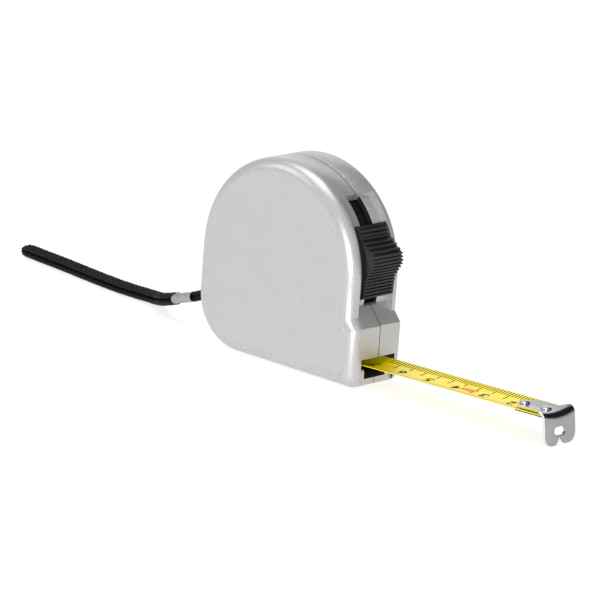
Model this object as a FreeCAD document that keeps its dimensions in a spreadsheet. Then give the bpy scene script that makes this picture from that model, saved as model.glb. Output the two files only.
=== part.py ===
import FreeCAD, Part
import math
import os

# Pocket tape measure with a 3 m blade. Lengths are in millimetres, angles in degrees.
# +X is the way the blade leaves, +Y goes across to the screw side, +Z is up.
# z = 0 is the flat base, y = 0 is the joint between the case halves and x = 0 is the axis of
# the round case.

DRIVING = [
    ("case_radius", 29.5), ("left_depth", 10.8), ("right_depth", 9.8),
    ("face_wall", 1.6), ("rim_wall", 3.1), ("base_wall", 1.8), ("heel_radius", 15.5), ("toe_radius", 2.3),
    ("left_edge_round", 3.7), ("right_edge_round", 2.5), ("small_edge_round", 0.5),
    ("nose_overhang", 2.4), ("nose_ridge_height", 17.2), ("nose_slope", 48.5),
    ("recess_depth", 1.5), ("recess_width", 13.8), ("recess_top_angle", 50.0),
    ("slot_width", 5.2), ("slot_bottom_angle", -15.0), ("slot_top_angle", 50.0),
    ("mouth_width", 13.7), ("mouth_top", 8.2), ("lip_height", 2.2), ("lip_setback", 0.9),
    ("lip_lump_height", 5.0), ("lip_lump_width", 2.5), ("lip_lump_length", 2.6), ("lip_lump_round", 0.9),
    ("blade_width", 12.5), ("blade_thickness", 0.16), ("blade_curve_radius", 22.0),
    ("blade_mouth_height", 5.7), ("blade_rise", 1.6), ("blade_end", 96.9), ("blade_tip_length", 15.0),
    ("throat_setback", 5.9), ("throat_straight", 3.0),
    ("reel_x", -1.0), ("reel_drop", 2.0), ("drum_radius", 12.3), ("drum_wall", 1.1),
    ("coil_radius", 17.4), ("flange_radius", 20.2), ("flange_thickness", 0.6), ("reel_gap", 0.2),
    ("post_radius", 2.5), ("post_slot", 0.8), ("post_boss_radius", 4.6), ("washer_thickness", 0.4),
    ("washer_radius", 5.6), ("washer_bore_gap", 0.1), ("cover_gap", 0.1),
    ("running_clearance", 0.06), ("seat_clearance", 0.03),
    ("spring_thickness", 0.3), ("spring_turns", 8.0), ("spring_inner_radius", 3.2),
    ("spring_side_gap", 0.5), ("spring_drum_gap", 0.3),
    ("screw_head_radius", 2.0), ("screw_head_height", 1.5), ("screw_shank_radius", 1.1),
    ("screw_length", 13.5), ("screw_boss_radius", 2.4), ("screw_sink", 2.0),
    ("screw_cross_length", 2.4), ("screw_cross_width", 0.5), ("screw_cross_depth", 0.8),
    ("well_clearance", 0.2), ("shank_clearance", 0.15),
    ("lock_width", 13.1), ("lock_hump_width", 11.8), ("lock_rim", 1.0), ("lock_stem_width", 4.7),
    ("lock_floor_gap", 0.25), ("lock_low_angle", -9.5), ("lock_high_angle", 31.5),
    ("slide_gap", 0.5), ("slide_thickness", 1.2), ("slide_width", 8.0),
    ("slide_low_angle", -54.0), ("slide_high_angle", 54.0), ("stem_low_angle", 6.0),
    ("stem_high_angle", 18.0), ("window_angle_gap", 0.2), ("pad_thickness", 0.9), ("pad_width", 10.0),
    ("pad_sweep", 7.0), ("pad_seat", 0.02),
    ("hook_thickness", 0.9), ("hook_width", 12.9), ("hook_drop", 8.7), ("hook_lean", 8.0),
    ("plate_rim", 0.12), ("plate_setback", 0.2), ("plate_lobe", 2.9), ("plate_lobe_cut", 0.85),
    ("notch_mouth", 3.2), ("notch_floor", 1.0), ("notch_height", 1.5),
    ("tongue_width", 8.4), ("tongue_length", 12.6), ("tongue_thickness", 0.8),
    ("hook_play", 0.8), ("plate_gap", 0.25), ("hook_slot_length", 4.6), ("hook_slot_height", 2.3),
    ("backing_width", 8.6), ("backing_length", 11.5), ("backing_thickness", 0.5),
    ("rivet_radius", 0.8), ("rivet_head_radius", 1.5), ("rivet_head_height", 0.6),
    ("rivet_pitch", 7.6), ("rivet_inset", 3.8), ("rivet_play", 0.06), ("rivet_seat", 0.02),
    ("stack_gap", 0.05), ("backing_setback", 0.6),
    ("bar_radius", 1.2), ("bar_inset", 4.5), ("bar_z", 14.3), ("strap_hole_width", 3.4),
    ("gate_margin", 0.8), ("gate_drop", 1.0),
    ("neck_cord", 1.3), ("neck_gap", 0.05), ("ferrule_length", 7.6), ("ferrule_wall", 0.25),
    ("ferrule_width", 4.4), ("ferrule_tilt", 17.5), ("ferrule_x", -39.9), ("ferrule_z", 8.75),
    ("neck_inset", 2.0), ("neck_ply_gap", 0.03), ("bore_gap", 0.1), ("strap_width", 4.4),
]

doc = FreeCAD.newDocument("PocketTape")
sheet = doc.addObject("Spreadsheet::Sheet", "Sizes")
for row, (alias, number) in enumerate(DRIVING, 1):
    sheet.set("A%d" % row, alias)
    sheet.set("B%d" % row, str(number))
    sheet.setAlias("B%d" % row, alias)
doc.recompute()
size = {alias: float(sheet.get(alias)) for alias, number in DRIVING}
V = FreeCAD.Vector
Y_AXIS = V(0, 1, 0)
LEFT, RIGHT = -1, 1


def polar(radius, angle, centre=None):
    """A point in the side view (x, z), at an angle above +X from the case's axis."""
    cx, cz = centre or (0.0, size["case_radius"])
    return (cx + radius * math.cos(math.radians(angle)), cz + radius * math.sin(math.radians(angle)))


def arc_points(radius, start, end, centre=None):
    """An arc as (start, middle, end), for a sketch outline."""
    return [polar(radius, a, centre) for a in (start, (start + end) / 2, end)]


def body(label):
    made = doc.addObject("PartDesign::Body", label)
    made.Label = label
    return made


def sketch(owner, name, pieces, offset=0.0, role="XZ_Plane"):
    """A sketch on one of the body's own planes. pieces holds lines (2 points), arcs (3 points)
    and circles (centre, radius). offset is along the plane's normal, -Y for the side view."""
    plane = [o for o in owner.Origin.OriginFeatures if o.Role == role][0]
    made = owner.newObject("Sketcher::SketchObject", name)
    made.AttachmentSupport = [(plane, "")]
    made.MapMode = "FlatFace"
    made.AttachmentOffset = FreeCAD.Placement(V(0, 0, offset), FreeCAD.Rotation())
    for piece in pieces:
        if isinstance(piece[1], (int, float)):
            made.addGeometry(Part.Circle(V(*piece[0], 0), V(0, 0, 1), piece[1]), False)
        elif len(piece) == 3:
            made.addGeometry(Part.Arc(*[V(*p, 0) for p in piece]), False)
        else:
            made.addGeometry(Part.LineSegment(*[V(*p, 0) for p in piece]), False)
    return made


def closed(points):
    """Straight pieces round a closed polygon."""
    return [(p, points[(i + 1) % len(points)]) for i, p in enumerate(points)]


def box_outline(x0, x1, z0, z1):
    return closed([(x0, z0), (x1, z0), (x1, z1), (x0, z1)])


def band_outline(inner, outer, low, high, centre=None):
    """A stretch of a ring, between two radii and two angles."""
    return [
        arc_points(outer, low, high, centre),
        (polar(outer, high, centre), polar(inner, high, centre)),
        arc_points(inner, high, low, centre),
        (polar(inner, low, centre), polar(outer, low, centre)),
    ]


def extrude(owner, kind, name, profile, length, reverse=False, midplane=False):
    """A Pad or Pocket whose length is a number's expression in the sheet."""
    made = owner.newObject("PartDesign::" + kind, name)
    made.Profile = profile
    profile.Visibility = False
    made.Reversed = reverse
    made.Midplane = midplane
    made.setExpression("Length", length)
    doc.recompute()
    return made


def cut(owner, name, profile, length, reverse=False, midplane=False):
    """A Pocket that must remove something."""
    before = owner.Shape.Volume
    made = extrude(owner, "Pocket", name, profile, length, reverse, midplane)
    if not owner.Shape.Volume < before - 1e-3:
        raise ValueError("%s in %s cuts nothing" % (name, owner.Label))
    return made


def edges_where(feature, test):
    return ["Edge%d" % (i + 1) for i, e in enumerate(feature.Shape.Edges) if test(e)]


def flat_at(edge, y):
    box = edge.BoundBox
    return abs(box.YMin - y) < 1e-4 and abs(box.YMax - y) < 1e-4


def fillet(owner, name, feature, edges, radius):
    made = owner.newObject("PartDesign::Fillet", name)
    made.Base = (feature, edges)
    made.setExpression("Radius", radius)
    doc.recompute()
    return made


# ---------------------------------------------------------------- case halves
R = size["case_radius"]
nose_reach = R + size["nose_overhang"]
floor_radius = R - size["recess_depth"]
cavity_radius = R - size["rim_wall"]
slide_outer = cavity_radius - size["slide_gap"]
slide_inner = slide_outer - size["slide_thickness"]
nose_rise = size["nose_overhang"] * math.tan(math.radians(size["nose_slope"]))
nose_kink_height = size["nose_ridge_height"] + nose_rise
screw_spots = [
    polar((cavity_radius + size["flange_radius"]) / 2 + 0.6, 88),
    polar(cavity_radius - size["screw_boss_radius"] + 0.3, 155),
    (-cavity_radius + 7.9, size["base_wall"] + 4.9),
    (nose_reach - 4.6, size["mouth_top"] + 5.4),
]
post_spot = (size["reel_x"], R - size["reel_drop"])
neck_wrap = size["bar_radius"] + size["neck_cord"] / 2 + size["neck_gap"]
bar_spot = (size["bar_inset"] - R, size["bar_z"])


def case_outline():
    heel, toe, reach = size["heel_radius"], size["toe_radius"], nose_reach
    return [
        arc_points(R, 0, 180),
        ((-R, R), (-R, heel)),
        arc_points(heel, 180, 270, (-R + heel, heel)),
        ((-R + heel, 0), (reach - toe, 0)),
        arc_points(toe, 270, 360, (reach - toe, toe)),
        ((reach, toe), (reach, size["nose_ridge_height"])),
        ((reach, size["nose_ridge_height"]), (R, nose_kink_height)),
        ((R, nose_kink_height), (R, R)),
    ]


def cavity_outline():
    r, low = cavity_radius, size["base_wall"]
    heel = size["heel_radius"] - low
    return [
        arc_points(r, 0, 180),
        ((-r, R), (-r, low + heel)),
        arc_points(heel, 180, 270, (-r + heel, low + heel)),
        ((-r + heel, low), (r, low)),
        ((r, low), (r, R)),
    ]


def recess_outline():
    """The thumb lock's track: outside the floor radius, above the nose's slope."""
    slope = math.radians(180 - size["nose_slope"])
    top = size["recess_top_angle"]
    # Where the slope's line meets the round floor of the track.
    start = (nose_reach, size["nose_ridge_height"])
    dx, dz = math.cos(slope), math.sin(slope)
    ox, oz = start[0], start[1] - R
    b = ox * dx + oz * dz
    t = -b - math.sqrt(b * b - (ox * ox + oz * oz - floor_radius ** 2))
    meet = (start[0] + t * dx, start[1] + t * dz)
    low = math.degrees(math.atan2(meet[1] - R, meet[0]))
    far = R + 6
    corner = (far, polar(far, top)[1])
    out = (start[0] - 4 * dx, start[1] - 4 * dz)
    return [
        arc_points(floor_radius, low, top),
        (polar(floor_radius, top), polar(far, top)),
        (polar(far, top), corner),
        (corner, (far, out[1])),
        ((far, out[1]), out),
        (out, meet),
    ]


def shell(label, side):
    """One half of the case. side is LEFT (-Y, smooth face) or RIGHT (+Y, screw face)."""
    depth = "Sizes.left_depth" if side == LEFT else "Sizes.right_depth"
    depth_value = size["left_depth"] if side == LEFT else size["right_depth"]
    edge_round = "Sizes.left_edge_round" if side == LEFT else "Sizes.right_edge_round"
    pad_back, pocket_back = side == RIGHT, side == LEFT
    half = body(label)
    pad = extrude(half, "Pad", label + "_block", sketch(half, label + "_outline", case_outline()),
                  depth, pad_back)
    rim = edges_where(pad, lambda e: flat_at(e, side * depth_value))
    fillet(half, label + "_edge", pad, rim, edge_round)
    cut(half, label + "_cavity", sketch(half, label + "_inside", cavity_outline()),
        depth + " - Sizes.face_wall", pocket_back)
    for number, spot in enumerate(screw_spots[:3]):
        profile = sketch(half, "%s_screw_boss_%d" % (label, number), [(spot, size["screw_boss_radius"])])
        extrude(half, "Pad", "%s_screw_pillar_%d" % (label, number), profile,
                depth + " - 0.5 * Sizes.face_wall", pad_back)
    # The post's boss stands back from the reel by a washer.
    reel_half = (size["blade_width"] / 2 + size["reel_gap"] + size["flange_thickness"]
                 + size["washer_thickness"] + 2 * size["running_clearance"])
    profile = sketch(half, label + "_post_boss", [(post_spot, size["post_boss_radius"])], -side * reel_half)
    extrude(half, "Pad", label + "_post_pillar", profile,
            "%s - 0.5 * Sizes.face_wall - %.9g" % (depth, reel_half), pad_back)
    hole = size["post_radius"] + size["seat_clearance"]
    cut(half, label + "_post_hole", sketch(half, label + "_post_round", [(post_spot, hole)]),
        depth + " - 0.4 * Sizes.face_wall", pocket_back)
    hole = size["bar_radius"] + size["seat_clearance"]
    cut(half, label + "_bar_hole", sketch(half, label + "_bar_round", [(bar_spot, hole)]),
        depth + " - 0.4 * Sizes.face_wall", pocket_back)
    cut(half, label + "_track", sketch(half, label + "_track_outline", recess_outline()),
        "0.5 * Sizes.recess_width", pocket_back)
    slot = band_outline(cavity_radius - 1, R + 1, size["slot_bottom_angle"], size["slot_top_angle"])
    cut(half, label + "_slot", sketch(half, label + "_slot_outline", slot),
        "0.5 * Sizes.slot_width", pocket_back)
    mouth = box_outline(cavity_radius - 0.5, nose_reach + 1, size["lip_height"], size["mouth_top"])
    cut(half, label + "_mouth", sketch(half, label + "_mouth_outline", mouth),
        "0.5 * Sizes.mouth_width", pocket_back)
    lip = box_outline(nose_reach - size["lip_setback"], nose_reach + 1, -1,
                      size["lip_height"] + 0.5)
    cut(half, label + "_lip", sketch(half, label + "_lip_outline", lip),
        "0.5 * Sizes.mouth_width", pocket_back)
    # A rounded lump at each end of the lip carries the blade's raised edge.
    front = nose_reach - size["lip_setback"]
    back = front - size["lip_lump_length"]
    top = size["lip_lump_height"]
    base = size["lip_height"] - 0.5
    nose = size["lip_lump_round"]
    lump = [
        ((back, base), (front, base)), ((front, base), (front, top - nose)),
        arc_points(nose, 0, 90, (front - nose, top - nose)),
        ((front - nose, top), (back, top)), ((back, top), (back, base)),
    ]
    width = size["mouth_width"] / 2
    profile = sketch(half, label + "_lump_outline", lump, -side * (width - size["lip_lump_width"]))
    extrude(half, "Pad", label + "_lump", profile, "Sizes.lip_lump_width + 0.2", pad_back)
    # The strap's neck leaves through a slot in the back wall, round the bar.
    grow = neck_wrap + size["neck_cord"] / 2 + size["gate_margin"]
    mid = size["bar_z"] - size["gate_drop"]
    gate = box_outline(-R - 1, -cavity_radius + 0.6, mid - grow, mid + grow)
    cut(half, label + "_strap_gate", sketch(half, label + "_strap_outline", gate),
        "0.5 * Sizes.strap_hole_width", pocket_back)
    if side == LEFT:
        pilots = [(spot, size["screw_shank_radius"] + size["seat_clearance"]) for spot in screw_spots]
        cut(half, "screw_pilots", sketch(half, "pilot_rounds", pilots),
            "Sizes.screw_length + Sizes.screw_sink - Sizes.right_depth + 0.8", True)
    else:
        holes = [(spot, size["screw_shank_radius"] + size["shank_clearance"]) for spot in screw_spots]
        cut(half, "screw_holes", sketch(half, "hole_rounds", holes), "Sizes.right_depth + 1", False)
        wells = [(spot, size["screw_head_radius"] + size["well_clearance"]) for spot in screw_spots]
        cut(half, "screw_wells", sketch(half, "well_rounds", wells, -size["right_depth"] - 0.5),
            "Sizes.screw_sink + Sizes.screw_head_height + 0.5", True)
    ridge = edges_where(half.Tip, lambda e: (
        abs(e.BoundBox.XMin - nose_reach) < 1e-3 and e.BoundBox.XLength < 1e-3
        and abs(e.BoundBox.ZMin - size["nose_ridge_height"]) < 1e-3 and e.BoundBox.ZLength < 1e-3))
    if ridge:
        fillet(half, label + "_ridge", half.Tip, ridge, "Sizes.small_edge_round")
    return half


left_shell = shell("left_shell", LEFT)
right_shell = shell("right_shell", RIGHT)

# ---------------------------------------------------------------- screws, post, bar, washers
screw_top = size["right_depth"] - size["screw_sink"]
screw_tip = screw_top - size["screw_length"]


def cylinder(name, radius, height):
    made = doc.addObject("Part::Cylinder", name)
    made.setExpression("Radius", radius)
    made.setExpression("Height", height)
    return made


def facing(point, direction=1):
    """A placement that turns +Z to +Y (or -Y) and moves the origin to the point."""
    return FreeCAD.Placement(V(*point), FreeCAD.Rotation(V(1, 0, 0), -90 * direction))


def fuse(label, *parts):
    made = doc.addObject("Part::MultiFuse", label)
    made.Label = label
    made.Shapes = list(parts)
    return made


def minus(label, base, tool):
    made = doc.addObject("Part::Cut", label)
    made.Label = label
    made.Base = base
    made.Tool = tool
    return made


screws = []
for number, (x, z) in enumerate(screw_spots):
    shank = cylinder("screw_shank_%d" % number, "Sizes.screw_shank_radius", "Sizes.screw_length")
    shank.Placement = facing((x, screw_tip, z))
    head = cylinder("screw_head_%d" % number, "Sizes.screw_head_radius", "Sizes.screw_head_height")
    head.Placement = facing((x, screw_top - size["screw_head_height"], z))
    whole = fuse("screw_%d" % number, shank, head)
    cross = []
    for turn in (0, 90):
        bar = doc.addObject("Part::Box", "screw_cross_%d_%d" % (number, turn))
        bar.setExpression("Length", "Sizes.screw_cross_length")
        bar.setExpression("Width", "Sizes.screw_cross_width")
        bar.setExpression("Height", "Sizes.screw_cross_depth + 0.1")
        middle = V(-size["screw_cross_length"] / 2, -size["screw_cross_width"] / 2, 0)
        sink = facing((x, screw_top - size["screw_cross_depth"], z))
        turned_to = FreeCAD.Placement(V(0, 0, 0), FreeCAD.Rotation(V(0, 0, 1), turn))
        centred = FreeCAD.Placement(middle, FreeCAD.Rotation())
        bar.Placement = sink.multiply(turned_to).multiply(centred)
        cross.append(bar)
    screws.append(minus("screw_done_%d" % number, whole, fuse("screw_recess_%d" % number, *cross)))
case_screws = doc.addObject("Part::Compound", "case_screws")
case_screws.Label = "case_screws"
case_screws.Links = screws

post_ends = (-size["left_depth"] + 0.5 * size["face_wall"], size["right_depth"] - 0.5 * size["face_wall"])
post_round = cylinder("post_round", "Sizes.post_radius",
                      "Sizes.left_depth + Sizes.right_depth - Sizes.face_wall")
post_round.Placement = facing((post_spot[0], post_ends[0], post_spot[1]))
post_cut = doc.addObject("Part::Box", "post_cut")
post_cut.setExpression("Length", "Sizes.post_slot")
post_cut.setExpression("Width", "Sizes.blade_width")
post_cut.setExpression("Height", "2 * Sizes.post_radius + 2")
post_cut_corner = V(post_spot[0] - size["post_slot"] / 2, -size["blade_width"] / 2,
                    post_spot[1] - size["post_radius"] - 1)
post_cut.Placement = FreeCAD.Placement(post_cut_corner, FreeCAD.Rotation())
spindle_post = minus("spindle_post", post_round, post_cut)

strap_bar = cylinder("strap_bar", "Sizes.bar_radius",
                     "Sizes.left_depth + Sizes.right_depth - Sizes.face_wall")
strap_bar.Label = "strap_bar"
strap_bar.Placement = facing((bar_spot[0], post_ends[0], bar_spot[1]))

reel_face = size["blade_width"] / 2 + size["reel_gap"]
flange_back = reel_face + size["flange_thickness"]
washers = []
for side in (LEFT, RIGHT):
    disc = cylinder("washer_disc_%s" % side, "Sizes.washer_radius", "Sizes.washer_thickness")
    hole = cylinder("washer_hole_%s" % side, "Sizes.post_radius + Sizes.washer_bore_gap",
                    "Sizes.washer_thickness")
    seat = (post_spot[0], side * (flange_back + size["running_clearance"]), post_spot[1])
    for part in (disc, hole):
        part.Placement = facing(seat, side)
    washers.append(minus("washer_%s" % side, disc, hole))
thrust_washers = doc.addObject("Part::Compound", "thrust_washers")
thrust_washers.Label = "thrust_washers"
thrust_washers.Links = washers

# ---------------------------------------------------------------- reel
post_hole = size["post_radius"] + size["running_clearance"]


def turned(label, outline):
    """A body turned about the reel's axis. outline is in (radius, y)."""
    made = body(label)
    points = [(size["reel_x"] + radius, y) for radius, y in outline]
    profile = sketch(made, label + "_section", closed(points), post_spot[1], "XY_Plane")
    turn = made.newObject("PartDesign::Revolution", label + "_turned")
    axis = made.newObject("PartDesign::Line", label + "_axis")
    axis.Placement = facing((post_spot[0], 0, post_spot[1]))
    turn.Profile = profile
    turn.ReferenceAxis = (axis, [""])
    turn.Angle = 360
    doc.recompute()
    return made


drum_inner = size["drum_radius"] - size["drum_wall"]
reel_drum = turned("reel_drum", [
    (post_hole, -flange_back), (size["flange_radius"], -flange_back), (size["flange_radius"], -reel_face),
    (size["drum_radius"], -reel_face), (size["drum_radius"], reel_face), (drum_inner, reel_face),
    (drum_inner, -reel_face), (post_hole, -reel_face),
])
reel_cover = turned("reel_cover", [
    (post_hole, reel_face), (drum_inner - size["cover_gap"], reel_face), (size["flange_radius"], reel_face),
    (size["flange_radius"], flange_back), (post_hole, flange_back),
])

coil_outer = cylinder("coil_outer", "Sizes.coil_radius", "Sizes.blade_width")
coil_inner = cylinder("coil_inner", "Sizes.drum_radius + Sizes.seat_clearance", "Sizes.blade_width")
for part in (coil_outer, coil_inner):
    part.Placement = facing((post_spot[0], -size["blade_width"] / 2, post_spot[1]))
blade_coil = minus("blade_coil", coil_outer, coil_inner)


def shape_node(label, shape, placement=None):
    """A node whose shape is set in code, because no feature makes it."""
    made = doc.addObject("Part::Feature", label)
    made.Label = label
    made.Shape = shape
    made.Placement = placement or shape.Placement
    return made


def wire(points_or_arcs):
    edges = []
    for piece in points_or_arcs:
        points = [V(p[0], 0, p[1]) for p in piece]
        kind = Part.Arc if len(points) == 3 else Part.LineSegment
        edges.append(kind(*points).toShape())
    return Part.Wire(edges)


def spiral_band(inner, pitch, turns, thickness, centre):
    """A flat spiral spring's outline: half turns about two centres in turn."""
    cx, cz = centre
    out, back = [], []
    for half in range(int(2 * turns)):
        shift = pitch / 4 * (1 if half % 2 else -1)
        start = 180 * half
        radius = inner + pitch / 2 * half + pitch / 4
        middle = (cx + shift, cz)
        out.append(arc_points(radius + thickness / 2, start, start + 180, middle))
        back.append(arc_points(radius - thickness / 2, start + 180, start, middle))
    back.reverse()
    tail = out[-1][2]
    tip = back[0][0]
    return wire(out + [(tail, tip)] + back + [(back[-1][2], out[0][0])])


spring_outer = drum_inner - size["spring_drum_gap"]
spring_pitch = (spring_outer - size["spring_inner_radius"]) / size["spring_turns"]
spring_edge = spiral_band(size["spring_inner_radius"], spring_pitch, size["spring_turns"],
                          size["spring_thickness"], post_spot)
spring_width = size["blade_width"] - 2 * size["spring_side_gap"]
coil_spring = Part.Face(spring_edge).extrude(V(0, spring_width, 0))
coil_spring.translate(V(0, -spring_width / 2, 0))
power_spring = shape_node("power_spring", coil_spring)

# ---------------------------------------------------------------- thumb lock
lock_inner = floor_radius + size["lock_floor_gap"]
lock_button = body("lock_button")
low, high = size["lock_low_angle"], size["lock_high_angle"]
# The hump's crest in the side view (x, z), drawn for a case whose radius is the first number.
CREST_RADIUS = 29.5
CREST = [
    (30.2, 25.0), (30.5, 28.8), (31.1, 31.0), (31.8, 32.3), (32.7, 33.8), (33.3, 35.2), (32.8, 37.9),
    (31.4, 38.9), (29.6, 40.2), (27.7, 41.6), (26.4, 44.6),
]
crest = [(x * R / CREST_RADIUS, z * R / CREST_RADIUS) for x, z in CREST]
outline = [arc_points(lock_inner, low, high), (polar(lock_inner, high), crest[-1])]
outline += [(crest[i], crest[i - 1]) for i in range(len(crest) - 1, 0, -1)]
outline += [(crest[0], polar(lock_inner, low))]
extrude(lock_button, "Pad", "lock_cap", sketch(lock_button, "lock_side", outline),
        "Sizes.lock_hump_width", midplane=True)
rim = band_outline(lock_inner, lock_inner + size["lock_rim"], low, high)
extrude(lock_button, "Pad", "lock_rim", sketch(lock_button, "rim_side", rim), "Sizes.lock_width",
        midplane=True)
stem = band_outline(slide_inner, lock_inner + 0.5,
                    size["stem_low_angle"], size["stem_high_angle"])
extrude(lock_button, "Pad", "lock_stem", sketch(lock_button, "stem_side", stem), "Sizes.lock_stem_width",
        midplane=True)

lock_slide = body("lock_slide")
strip = band_outline(slide_inner, slide_outer,
                     size["slide_low_angle"], size["slide_high_angle"])
extrude(lock_slide, "Pad", "slide_strip", sketch(lock_slide, "strip_side", strip), "Sizes.slide_width",
        midplane=True)
window = band_outline(slide_inner - 1,
                      slide_outer + 1,
                      size["stem_low_angle"] - size["window_angle_gap"],
                      size["stem_high_angle"] + size["window_angle_gap"])
cut(lock_slide, "slide_window", sketch(lock_slide, "window_side", window),
    "Sizes.lock_stem_width + 2 * Sizes.running_clearance", midplane=True)

brake_pad = body("brake_pad")
pad = band_outline(slide_outer + size["pad_seat"],
                   slide_outer + size["pad_thickness"],
                   size["slide_low_angle"], size["slide_low_angle"] + size["pad_sweep"])
extrude(brake_pad, "Pad", "pad_block", sketch(brake_pad, "pad_side", pad), "Sizes.pad_width", midplane=True)

# ---------------------------------------------------------------- blade and hook
# The drawn blade lies on a line that rises a little from the mouth. Its own frame has x along
# that line, with x = 0 at the nose, and z = 0 on the underside of its lowest line.
blade_frame = FreeCAD.Placement(
    V(nose_reach, 0, size["blade_mouth_height"]), FreeCAD.Rotation(Y_AXIS, -size["blade_rise"])
)
half_blade = size["blade_width"] / 2


def cup_section(x, bottom, top, half_width, radius):
    """A closed wire across the blade: a thin curved strip, hollow side up."""
    def point(y, below):
        r = radius - below
        return V(x, y, radius - math.sqrt(r * r - y * y))
    low = Part.Arc(point(-half_width, bottom), point(0, bottom), point(half_width, bottom)).toShape()
    high = Part.Arc(point(half_width, top), point(0, top), point(-half_width, top)).toShape()
    right = Part.LineSegment(point(half_width, bottom), point(half_width, top)).toShape()
    left = Part.LineSegment(point(-half_width, top), point(-half_width, bottom)).toShape()
    return Part.Wire([low, right, high, left])


def cup_strip(x0, x1, bottom, top, half_width):
    face = Part.Face(cup_section(x0, bottom, top, half_width, size["blade_curve_radius"]))
    return face.extrude(V(x1 - x0, 0, 0))


end_x = (size["blade_end"] - nose_reach) / math.cos(math.radians(size["blade_rise"]))
tip_x = end_x - size["blade_tip_length"]
rivet_x = [end_x - size["rivet_inset"] - size["rivet_pitch"] * k for k in (0, 1)]
thick = size["blade_thickness"]


def rod(x, radius, z0, z1):
    return Part.makeCylinder(radius, z1 - z0, V(x, 0, z0))


tip_shape = cup_strip(tip_x, end_x, 0, thick, half_blade)
for x in rivet_x:
    tip_shape = tip_shape.cut(rod(x, size["rivet_radius"] + size["rivet_seat"], -1, 2))
blade_tip = shape_node("blade_tip", tip_shape, blade_frame)

# The run back to the coil: straight to the throat, then down-slope to the coil's tangent.
rise = math.radians(size["blade_rise"])
throat_x = nose_reach - size["throat_setback"]
throat = (throat_x, size["blade_mouth_height"] + (throat_x - nose_reach) * math.tan(rise))
dx, dz = post_spot[0] - throat[0], post_spot[1] - throat[1]
distance = math.hypot(dx, dz)
tangent = math.atan2(dz, dx) + math.asin((size["coil_radius"] + thick) / distance)
run = math.sqrt(distance ** 2 - (size["coil_radius"] + thick) ** 2)
sections = []
# The hollow section flattens towards the coil: share of the way, and radius there.
FLATTENING = [(0.97, 900.0), (0.6, 160.0), (0.15, 60.0)]
for share, radius in FLATTENING:
    section = cup_section(0, 0, thick, half_blade, radius)
    section.rotate(V(0, 0, 0), Y_AXIS, math.degrees(math.pi - tangent))
    section.translate(V(throat[0] + run * share * math.cos(tangent), 0,
                        throat[1] + run * share * math.sin(tangent)))
    sections.append(section)
for x in (size["throat_straight"] - size["throat_setback"], tip_x):
    section = cup_section(x, 0, thick, half_blade, size["blade_curve_radius"])
    section.Placement = blade_frame.multiply(section.Placement)
    sections.append(section)
blade_run = shape_node("blade_run", Part.makeLoft(sections, True, True))

# End hook: a tongue over the blade, a bend, and a leaning plate with two lobes.
tongue_low = thick + size["plate_gap"]
tongue_high = tongue_low + size["tongue_thickness"]
plate_x = end_x + size["plate_setback"]
tongue = cup_strip(plate_x - size["tongue_length"], plate_x + 0.4, tongue_low, tongue_high,
                   size["tongue_width"] / 2)
play_radius = size["rivet_radius"] + size["rivet_play"]
for x in rivet_x:
    slot = rod(x, play_radius, -1, 4)
    slot = slot.fuse(rod(x - size["hook_play"], play_radius, -1, 4))
    between = V(x - size["hook_play"], -play_radius, -1)
    slot = slot.fuse(Part.makeBox(size["hook_play"], 2 * play_radius, 5, between))
    tongue = tongue.cut(slot)


def plate_outline():
    """The front plate in its own plane: y across, z up, z = 0 at the top of the tongue's middle."""
    half, drop = size["hook_width"] / 2, size["hook_drop"]
    lobe, nip = size["plate_lobe"], size["plate_lobe_cut"]
    wide, floor, up = size["notch_mouth"] / 2, size["notch_floor"] / 2, size["notch_height"] - drop
    cup = size["blade_curve_radius"] - tongue_high
    rim = cup - math.sqrt(cup ** 2 - half ** 2)
    edges = [
        Part.Arc(V(0, -half, rim), V(0, 0, 0), V(0, half, rim)),
        Part.LineSegment(V(0, half, rim), V(0, half, -drop + lobe)),
        Part.Arc(V(0, half, -drop + lobe), V(0, half - nip, -drop + nip), V(0, half - lobe, -drop)),
        Part.LineSegment(V(0, half - lobe, -drop), V(0, wide, -drop)),
        Part.LineSegment(V(0, wide, -drop), V(0, floor, up)),
        Part.LineSegment(V(0, floor, up), V(0, -floor, up)),
        Part.LineSegment(V(0, -floor, up), V(0, -wide, -drop)),
        Part.LineSegment(V(0, -wide, -drop), V(0, -half + lobe, -drop)),
        Part.Arc(V(0, -half + lobe, -drop), V(0, -half + nip, -drop + nip), V(0, -half, -drop + lobe)),
        Part.LineSegment(V(0, -half, -drop + lobe), V(0, -half, rim)),
    ]
    return Part.Face(Part.Wire([e.toShape() for e in edges]))


plate = plate_outline().extrude(V(size["hook_thickness"], 0, 0))
slot_half = (size["hook_slot_length"] - size["hook_slot_height"]) / 2
slot_z = -0.55 * size["hook_drop"]
window = Part.makeBox(4, 2 * slot_half, size["hook_slot_height"],
                      V(-1, -slot_half, slot_z - size["hook_slot_height"] / 2))
for y in (-slot_half, slot_half):
    window = window.fuse(Part.makeCylinder(size["hook_slot_height"] / 2, 4, V(-1, y, slot_z), V(1, 0, 0)))
plate = plate.cut(window)
plate.rotate(V(0, 0, 0), Y_AXIS, -size["hook_lean"])
plate.translate(V(plate_x, 0, tongue_high + size["plate_rim"]))
hook_shape = tongue.fuse(plate).removeSplitter()
end_hook = shape_node("end_hook", hook_shape, blade_frame)

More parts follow.
